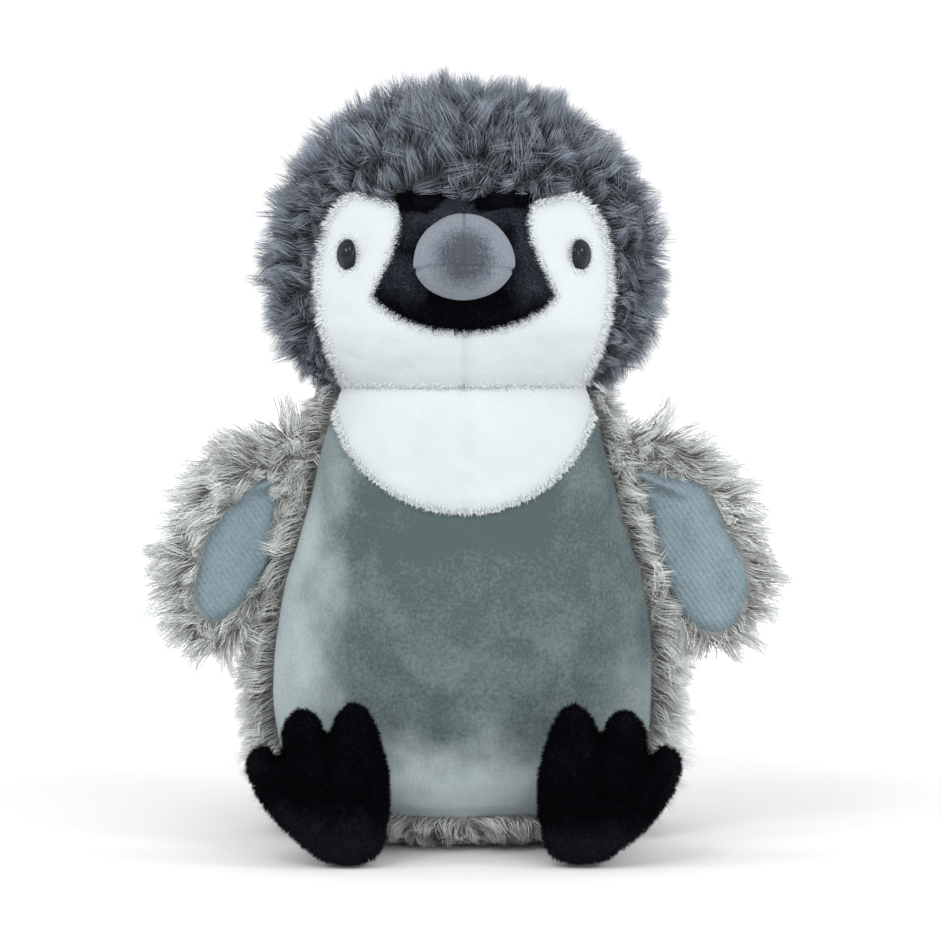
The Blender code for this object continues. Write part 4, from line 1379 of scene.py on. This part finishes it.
@dataclass
class Beak:
    """A small suede beak: two upper halves and one lower, over a firm filling."""

    centre: Place = (0.0, -49.0, 229.5)
    radii: Place = (19.8, 31.0, 16.6)
    mouth_z: float = 226.0
    back_y: float = -36.0
    cloth_mm: float = 1.0
    dip_mm: float = 0.5

    def build(self) -> None:
        """Cuts the ovoid along the middle and the mouth."""
        bm = bmesh.new()
        bmesh.ops.create_uvsphere(bm, u_segments=192, v_segments=128, radius=1.0)
        bmesh.ops.rotate(bm, cent=(0, 0, 0), matrix=Matrix.Rotation(math.pi / 2, 3, "X"), verts=bm.verts)
        bmesh.ops.scale(bm, vec=tuple(r * MM for r in self.radii), verts=bm.verts)
        bmesh.ops.translate(bm, vec=tuple(c * MM for c in self.centre), verts=bm.verts)
        for vert in bm.verts:
            vert.co.x *= 1.0 - 0.12 * max(0.0, min(1.0, (vert.co.z / MM - self.mouth_z) / 18.0)) ** 0.8
        p = coordinates(bm)
        mouth = p[:, 2] / MM - self.mouth(p)
        tip = 1.0 - 0.6 * fade(-p[:, 1], 0.073, 0.079)
        groove = 1.1 * ridge(mouth, 1.0) * tip + 0.7 * ridge(p[:, 0] / MM, 0.7) * (mouth > 0) * tip
        displaced(bm, (-groove * fade(-p[:, 1], 0.046, 0.056) + 0.3 * swell(p, 6.0, 2.0)) * MM)
        self.cut(bm, "beak_under", "beak_lower", lambda q: -self.above(q))
        for side in Side:
            mine = side.value
            self.cut(bm, f"beak_over_{side.word}", f"beak_upper_{side.word}",
                     lambda q: np.minimum(self.above(q), q[:, 0] * mine))
        bm.free()
        core = ovoid(tuple(r - 2.2 for r in self.radii), self.centre)
        lumpy(core, 0.25, 4.0, 4.0)
        make_piece("beak_stuffing", core, FIBRE_FILL, "head", ("beak_filling",))

    def cut(self, bm: bmesh.types.BMesh, name: str, node: str, inside: Callable[[Points], Points]) -> None:
        """Makes one panel of the beak, in front of its seam with the mask.

        Args:
            bm: the whole beak.
            name: the panel's name.
            node: the CAD node that it stands for.
            inside: how far inside the panel each point is, leaving out that seam.
        """
        front = self.back_y * MM
        cover = panel(bm, lambda q: np.minimum(inside(q), front - q[:, 1]), self.cloth_mm, 1.0, self.dip_mm)
        make_piece(name, cover, BEAK_SUEDE, "head", (node,))

    def mouth(self, p: Points) -> Points:
        """The mouth's height, in millimetres, bowed down a little at its corners."""
        return self.mouth_z + 0.4 - 2.4 * (np.abs(p[:, 0]) / (self.radii[0] * MM)) ** 3

    def above(self, p: Points) -> Points:
        """How far above the mouth each point is, in metres."""
        return p[:, 2] - self.mouth(p) * MM


@dataclass
class Eyes:
    """Domed eyes on a shank, each held by a washer inside the head."""

    centre: Place = (44.2, -37.0, 230.0)
    turned: float = 66.0
    radius: float = 6.2
    rise: float = 4.2
    dome_steps: int = 18
    facets: int = 96
    shank: Knots = ((2.4, -1.1), (1.8, -1.8), (1.8, -9.5), (2.2, -10.0), (2.2, -11.0), (1.7, -11.5),
                    (1.7, -14.2), (1.0, -15.0), (0.0, -15.0))
    washer: Knots = ((2.0, -7.6), (3.0, -7.4), (6.9, -7.4), (7.5, -7.9), (7.5, -8.5), (7.0, -8.9),
                     (3.2, -8.9), (2.0, -8.7))

    def place(self, side: Side) -> Matrix:
        """The eye's own frame.

        Args:
            side: which eye.

        Returns:
            The frame, with +Z outwards.
        """
        x, y, z = self.centre
        turn = Matrix.Rotation(side.value * math.radians(self.turned), 4, "Z")
        at = Matrix.Translation((side.value * x * MM, y * MM, z * MM))
        return at @ turn @ Matrix.Rotation(math.pi / 2, 4, "X")

    def turn(self, outline: Knots, ring: bool) -> bmesh.types.BMesh:
        """Spins a profile about Z.

        Args:
            outline: (radius, height) in millimetres.
            ring: whether the profile closes on itself.

        Returns:
            The turned solid.
        """
        bm = bmesh.new()
        verts = [bm.verts.new((r * MM, 0.0, z * MM)) for r, z in outline]
        pairs = list(zip(verts, verts[1:])) + ([(verts[-1], verts[0])] if ring else [])
        edges = [bm.edges.new(pair) for pair in pairs]
        bmesh.ops.spin(bm, geom=verts + edges, cent=(0, 0, 0), axis=(0, 0, 1), angle=math.tau,
                       steps=self.facets)
        bmesh.ops.remove_doubles(bm, verts=bm.verts, dist=1e-6)
        bmesh.ops.recalc_face_normals(bm, faces=bm.faces)
        return bm

    def build(self) -> None:
        """Makes both eyes and both washers."""
        dome = [(0.0, self.rise)]
        for k in range(1, self.dome_steps + 1):
            angle = math.pi / 2 * (1.0 - k / self.dome_steps)
            dome.append((self.radius * math.cos(angle), self.rise * math.sin(angle)))
        dome += [(self.radius - 0.2, -0.5), (self.radius - 0.9, -0.9), *self.shank]
        for side in Side:
            for name, outline, ring, finish, node, slot in (
                    ("eye_dome", dome, False, EYE_GLOSS, "eye", "eye_plastic"),
                    ("washer_ring", self.washer, True, WASHER_NYLON, "eye_washer", "washer_plastic")):
                bm = self.turn(outline, ring)
                bmesh.ops.transform(bm, matrix=self.place(side), verts=bm.verts)
                bmesh.ops.recalc_face_normals(bm, faces=bm.faces)
                make_piece(f"{name}_{side.word}", bm, finish, "head", (f"{node}_{side.word}",))


@dataclass
class Pillow:
    """A flat stuffed shape cut to an outline in its own X-Y plane, full along Z."""

    outline: Outline
    front_mm: float
    back_mm: float
    soft_mm: float
    cell_mm: float
    rim_mm: float = 0.9
    smoothings: int = 4

    def sheet(self) -> bmesh.types.BMesh:
        """Cuts a grid to the outline, its rim drawn on to the line.

        Returns:
            The flat sheet.
        """
        loop = self.outline.loop()
        low, high = loop.min(0), loop.max(0)
        size = high - low + 4 * self.cell_mm * MM
        bm = bmesh.new()
        bmesh.ops.create_grid(bm, x_segments=int(size[0] / self.cell_mm / MM),
                              y_segments=int(size[1] / self.cell_mm / MM), size=0.5)
        middle = (low + high) / 2
        bmesh.ops.scale(bm, vec=(size[0], size[1], 1.0), verts=bm.verts)
        bmesh.ops.translate(bm, vec=(middle[0], middle[1], 0.0), verts=bm.verts)
        centres = np.array([f.calc_center_median()[:] for f in bm.faces])
        keep = self.outline.signed(centres[:, :2]) > 0
        bmesh.ops.delete(bm, geom=[f for f, k in zip(bm.faces, keep) if not k], context="FACES")
        rim = [v for v in bm.verts if v.is_boundary]
        where, _ = self.outline.nearest(np.array([v.co[:2] for v in rim]))
        for vert, (x, y) in zip(rim, where):
            spread = Vector((vert.co.x - x, vert.co.y - y))
            vert.co = (x, y, 0.0)
            if self.outline.signed(np.array([[x + spread.x, y + spread.y]]))[0] > 0:
                spread.negate()
            vert.co += (spread.normalized() * self.rim_mm * MM).to_3d()
        for _ in range(2):
            inner = [v for v in bm.verts if not v.is_boundary]
            bmesh.ops.smooth_vert(bm, verts=inner, factor=0.5, use_axis_x=True, use_axis_y=True)
        return bm

    def build(self) -> bmesh.types.BMesh:
        """Blows the sheet up on both sides.

        Returns:
            The closed pillow, facing outwards.
        """
        bm = self.sheet()
        copy = bmesh.ops.duplicate(bm, geom=bm.faces[:])
        under = [g for g in copy["geom"] if isinstance(g, bmesh.types.BMFace)]
        under_verts = {v for f in under for v in f.verts}
        inside = self.outline.signed(coordinates(bm)[:, :2])
        for vert, d in zip(bm.verts, inside):
            t = min(max(d, 0.0) / (self.soft_mm * MM), 1.0)
            full = math.sqrt(max(1.0 - (1.0 - t) ** 2, 0.0))
            vert.co.z = full * MM * (-self.back_mm if vert in under_verts else self.front_mm)
        bmesh.ops.reverse_faces(bm, faces=under)
        bmesh.ops.remove_doubles(bm, verts=bm.verts, dist=0.02 * MM)
        for _ in range(self.smoothings):
            bmesh.ops.smooth_vert(bm, verts=bm.verts, factor=0.5, use_axis_x=True, use_axis_y=True,
                                  use_axis_z=True)
        bmesh.ops.recalc_face_normals(bm, faces=bm.faces)
        if bm.calc_volume(signed=True) < 0.0:
            bmesh.ops.reverse_faces(bm, faces=bm.faces)
        return bm


@dataclass
class Wing:
    """A floppy wing: fur behind, ribbed knit in front, a thin pad between."""

    side: Side
    shoulder: Place = (66.0, -2.0, 148.0)
    pleat_line: Knots = ((3.0, -6.0), (22.0, -13.5))
    forward: float = 9.0
    cloth_mm: float = 0.9
    outline: Knots = (
        (-9, 4), (-4, 9.5), (4, 11.5), (14, 9.5), (27, 1), (37, -13), (44.5, -31), (47.5, -47), (44.5, -60),
        (37, -68.5), (28, -69), (20.5, -62), (14, -51), (10, -40), (7, -26), (1, -15), (-5, -8))
    pile: Pile = Pile(length=20.5, thick=0.36, per_mm2=1.6, seed=71, joints=2, stray=0.36, comb=0.80,
                      droop=0.05, lock_mm=4.6, lock_pull=0.80, curl=2.2, curl_turns=0.8, lock_stray=0.50)

    def place(self) -> Matrix:
        """The wing's own frame.

        Returns:
            The frame: X outwards on the left wing, Y up, Z towards the front.
        """
        x, y, z = self.shoulder
        s = self.side.value
        lean = Matrix.Rotation(-s * math.radians(self.forward), 4, "Z")
        return Matrix.Translation((s * x * MM, y * MM, z * MM)) @ lean @ Matrix.Rotation(math.pi / 2, 4, "X")

    def handed(self, knots: Knots) -> Outline:
        """An outline of the left wing, turned over for the right."""
        return Outline(tuple(knots) if self.side is Side.LEFT else mirrored(knots))

    def lining(self) -> Outline:
        """The lining's outline in the wing's own frame."""
        return self.handed(WING_LINING[self.side])

    def build(self) -> None:
        """Makes the wing's cover, pad and fur."""
        word, body = self.side.word, f"wing_{self.side.word}"
        whole = Pillow(self.handed(self.outline), 4.2, 6.0, 11.0, 0.95).build()
        lining = self.lining()
        p = coordinates(whole)
        edge = lining.signed(p[:, :2])
        dent = np.where(p[:, 2] > 0, 1.3 * ridge(edge, 2.2 * MM), 0.0)
        displaced(whole, (0.7 * swell(p, 9.0, 3.0) - dent + self.pleat(p) * (p[:, 2] > 0)) * MM)

        def lined(q: Points) -> Points:
            """How far inside the lining each point is."""
            return np.minimum(q[:, 2] * 3.0, lining.signed(q[:, :2]))

        face = panel(whole, lined, self.cloth_mm)
        back = panel(whole, lambda q: -lined(q), self.cloth_mm)
        pad = whole.copy()
        displaced(pad, np.full(len(pad.verts), -1.3 * MM))
        for name, bm, finish, node, slot, fill in (
                ("wing_face", face, WING_KNIT, "wing_lining", "lining_knit", LOOSE),
                ("wing_back", back, TAUPE_BACKING_AND_SHADE, "wing_fur", "taupe_fur", LOOSE),
                ("wing_stuffing", pad, FIBRE_FILL, "wing_pad", "filling", 0.5)):
            bmesh.ops.transform(bm, matrix=self.place(), verts=bm.verts)
            make_piece(f"{name}_{word}", bm, finish, body, (f"{node}_{word}",))
        self.furnish(whole)
        whole.free()

    def pleat(self, p: Points) -> Points:
        """A fold of the lining below the shoulder: a ridge over a deep groove.

        Args:
            p: points in the wing's own frame.

        Returns:
            Its height at each, in millimetres.
        """
        a, b = (np.array((self.side.value * u, v)) * MM for u, v in self.pleat_line)
        along, off = off_line(p[:, :2], a, b)
        gap = np.hypot(off[:, 0], off[:, 1]) * np.where(off[:, 1] > 0, 1.0, -1.0) / MM
        return (2.4 * ridge(gap - 1.8, 1.7) - 3.0 * ridge(gap + 1.2, 1.5)) * (1 - along**3)

    def furnish(self, whole: bmesh.types.BMesh) -> None:
        """Grows fur outside the lining.

        Args:
            whole: the wing, in its own frame.
        """
        local = Roots.scatter(whole, self.pile)
        bare = (local.points[:, 2] > 0) & (self.lining().signed(local.points[:, :2]) > 0)
        local = local.where(~bare)
        place = self.place()
        axes = np.array(place.to_3x3())
        roots = Roots(local.points @ axes.T + np.array(place.translation), local.normals @ axes.T)
        Coat(f"wing_coat_{self.side.word}", roots, self.pile, TAUPE_FUR, f"wing_{self.side.word}",
             "taupe_fur", self.outwards, self.wing_length).grow()

    def outwards(self, roots: Roots) -> Points:
        """Combed away from the shoulder and off the wing's outer edge."""
        s = self.side.value
        away = roots.points - np.array((s * self.shoulder[0], self.shoulder[1], self.shoulder[2])) * MM
        return unit(away) * 0.5 + np.array((s * 0.75, 0.0, -0.28))

    def wing_length(self, p: Points) -> Points:
        """How long the fur is: shorter at the wing's tip and on its front.

        Args:
            p: where the fibres grow.

        Returns:
            Each one's share of the full length.
        """
        place = self.place()
        local = (p - np.array(place.translation)) @ np.array(place.to_3x3())
        near = fade(-self.lining().signed(local[:, :2]), 0.0, 8 * MM)
        tip = 0.78 + 0.22 * fade(p[:, 2], 78 * MM, 100 * MM)
        inner = 0.55 + 0.45 * fade(np.abs(p[:, 0]), 76 * MM, 92 * MM)
        return tip * np.where(local[:, 2] > 0.0, (0.42 + 0.58 * near) * inner, 1.0)


@dataclass
class Foot:
    """A webbed foot with three toes, sewn to the torso by a short sleeve."""

    side: Side
    middle_y: float = -71.5
    cloth_mm: float = 1.2
    creases: tuple[Knots, ...] = (((51.3, 50), (49.5, 16)), ((70.2, 43), (60.0, 15)))
    leg_start: Place = (47.0, -25.0, 18.5)
    leg_end: Place = (46.0, -64.0, 17.0)
    leg_turns_from: float = 0.35
    leg_rings: int = 12
    leg_floor: float = 1.5 * MM
    pile: Pile = Pile(length=2.1, thick=0.28, per_mm2=3.6, seed=91, joints=0, stray=0.5, comb=0.45,
                      lock_mm=1.3, lock_pull=0.3)

    def build(self) -> None:
        """Makes the two halves, the filling, the sleeve and the pile."""
        word, body = self.side.word, f"foot_{self.side.word}"
        outline = Outline(FOOT if self.side is Side.LEFT else mirrored(FOOT))
        whole = Pillow(outline, 9.0, 10.0, 12.0, 1.3).build()
        p = coordinates(whole)
        rim = ridge(p[:, 2], 1.2 * MM) * 0.8
        displaced(whole, (0.5 * swell(p, 8.0, 3.0) - self.crease(p) - rim) * MM)
        stand = Matrix.Translation((0.0, self.middle_y * MM, 0.0)) @ Matrix.Rotation(math.pi / 2, 4, "X")
        bmesh.ops.transform(whole, matrix=stand, verts=whole.verts)
        split = self.middle_y * MM
        for name, node, facing in (("foot_top", "foot_instep", 1.0), ("foot_under", "foot_sole", -1.0)):
            half = panel(whole, lambda q: facing * (q[:, 1] - split), self.cloth_mm, dip_mm=0.4)
            make_piece(f"{name}_{word}", half, FOOT_PLUSH, body, (f"{node}_{word}",))
        core = whole.copy()
        displaced(core, np.full(len(core.verts), -1.8 * MM))
        make_piece(f"foot_stuffing_{word}", core, FIBRE_FILL, body, (f"foot_filling_{word}",))
        Coat(f"foot_plush_{word}", Roots.scatter(whole, self.pile), self.pile, FOOT_PLUSH, body,
             "black_plush", lambda r: np.tile(DOWN, (len(r.points), 1)),
             lambda q: 0.15 + 0.85 * fade(q[:, 2], 0.5 * MM, 4 * MM)).grow()
        whole.free()
        self.sleeve()

    def crease(self, p: Points) -> Points:
        """The creases between the toes.

        Args:
            p: points in the foot's own frame.

        Returns:
            Their depth at each, in millimetres.
        """
        total = np.zeros(len(p))
        for line in self.creases:
            a, b = (np.array((x * self.side.value, y)) * MM for x, y in line)
            along, off = off_line(p[:, :2], a, b)
            total += 2.6 * ridge(np.hypot(*off.T), 3.2 * MM) * (1 - 0.6 * along)
        return total

    def sleeve(self) -> None:
        """The short leg between the belly and the foot."""
        s, word = self.side.value, self.side.word
        start, end = (Vector((s * x, y, z)) * MM for x, y, z in (self.leg_start, self.leg_end))
        run = end - start
        crossing = Crossing(f"foot_{word}", tuple(start + run * self.leg_turns_from), tuple(end))
        for name, radius, finish, node, slot, fill in (
                ("leg_cover", 15.2, BLACK_CLOTH, "leg_sleeve", "black_plush", 0.8),
                ("leg_stuffing", 11.0, FIBRE_FILL, "leg_filling", "filling", LOOSE)):
            bm = bmesh.new()
            bmesh.ops.create_cone(bm, cap_ends=True, segments=48, radius1=radius * MM, radius2=radius * MM,
                                  depth=run.length)
            caps = {f for f in bm.faces if len(f.verts) > 4}
            rims = [e for e in bm.edges if len(e.link_faces) == 2 and caps.intersection(e.link_faces)]
            bmesh.ops.bevel(bm, geom=rims, offset=3 * MM, offset_type="OFFSET", segments=3, profile=0.5,
                            affect="EDGES", material=-1)
            for k in range(1, self.leg_rings):
                at = run.length * (k / self.leg_rings - 0.5)
                bmesh.ops.bisect_plane(bm, geom=bm.verts[:] + bm.edges[:] + bm.faces[:],
                                       plane_co=(0, 0, at), plane_no=(0, 0, 1))
            turn = run.to_track_quat("Z", "X").to_matrix().to_4x4()
            bmesh.ops.transform(bm, matrix=Matrix.Translation((start + end) / 2) @ turn, verts=bm.verts)
            lumpy(bm, 0.5, 7.0, 2.0)
            for vert in bm.verts:
                vert.co.z = max(vert.co.z, self.leg_floor)
            make_piece(f"{name}_{word}", bm, finish, "torso", (f"{node}_{word}",), crossing)


@dataclass(frozen=True)
class Lamp:
    """A square soft light: its name, place and size in metres, and its power in watts."""

    name: str
    at: Place
    size: float
    power: float

    def hang(self, aim: Place) -> None:
        """Adds the light, turned towards a point."""
        light = bpy.data.lights.new(self.name, "AREA")
        light.size, light.energy = self.size, self.power
        place_at(bpy.data.objects.new(self.name, light), self.at, aim)


def place_at(holder: bpy.types.Object, at: Place, aim: Place) -> None:
    """Sets a light or a camera at a place, looking at another."""
    holder.location = at
    holder.rotation_euler = (Vector(aim) - Vector(at)).to_track_quat("-Z", "Y").to_euler()
    bpy.context.scene.collection.objects.link(holder)


@dataclass
class Studio:
    """A pale floor, a white room and soft light; the camera at the toy's chest."""

    camera_at: Place = (0.0, -1.6, 0.25)
    aim: Place = (0.0, 0.0, 0.148)
    lens: float = 156.44
    sensor: float = 36.0
    shift: tuple[float, float] = (0.00638, -0.00745)
    room: float = 1.12
    floor_grey: float = 0.75
    floor_half: float = 4.0
    glow_from: float = 0.22
    glow_to: float = 0.55
    glow: float = 0.6
    lamps: tuple[Lamp, ...] = (
        Lamp("glint_right", (-1.25, -0.6, 0.85), 0.34, 5.0),
        Lamp("glint_left", (1.25, -0.6, 0.85), 0.34, 5.0),
        Lamp("key", (-0.5, -1.1, 1.3), 0.6, 6.0), Lamp("fill", (0.7, -1.5, 0.6), 0.9, 7.0))

    def build(self) -> None:
        """Makes the floor, the room, the lights and the camera."""
        self.floor()
        world = bpy.data.worlds.new("room")
        world.use_nodes = True
        set_inputs(world.node_tree.nodes["Background"], {"Color": (1, 1, 1, 1), "Strength": self.room})
        bpy.context.scene.world = world
        bpy.context.scene.view_settings.view_transform = "Standard"
        for lamp in self.lamps:
            lamp.hang(self.aim)
        camera = bpy.data.cameras.new("camera")
        camera.lens, camera.sensor_width = self.lens, self.sensor
        camera.shift_x, camera.shift_y = self.shift
        holder = bpy.data.objects.new("camera", camera)
        place_at(holder, self.camera_at, self.aim)
        bpy.context.scene.camera = holder

    def floor(self) -> None:
        """A matt floor that glows into the white room away from the toy."""
        bm = bmesh.new()
        bmesh.ops.create_grid(bm, x_segments=8, y_segments=8, size=self.floor_half)
        mesh = bpy.data.meshes.new("floor")
        bm.to_mesh(mesh)
        bm.free()
        floor = bpy.data.objects.new("floor", mesh)
        bpy.context.scene.collection.objects.link(floor)
        white = bpy.data.materials.new("floor_white")
        white.use_nodes = True
        shader = white.node_tree.nodes["Principled BSDF"]
        set_inputs(shader, {"Base Color": (self.floor_grey,) * 3 + (1.0,), "Roughness": 1.0,
                            "Specular IOR Level": 0.0, "Emission Strength": 1.0})
        graph = Graph(white.node_tree)
        place = graph.add("ShaderNodeTexCoord").outputs["Object"]
        away = graph.add("ShaderNodeVectorMath", {0: place}, operation="LENGTH").outputs["Value"]
        glow = graph.add("ShaderNodeMapRange", {"Value": away, "From Min": self.glow_from,
                                                "From Max": self.glow_to, "To Max": self.glow},
                         interpolation_type="SMOOTHSTEP")
        graph.tree.links.new(glow.outputs[0], shader.inputs["Emission Color"])
        mesh.materials.append(white)


def main() -> None:
    """Builds every part in turn, then the studio."""
    logging.basicConfig(level=logging.INFO, format="%(message)s")
    for part in (Torso(), Head(), Beak(), Eyes(), Wing(Side.LEFT), Wing(Side.RIGHT), Foot(Side.LEFT),
                 Foot(Side.RIGHT), Studio()):
        LOG.info("building %s", type(part).__name__)
        part.build()


if __name__ == "__main__":
    main()
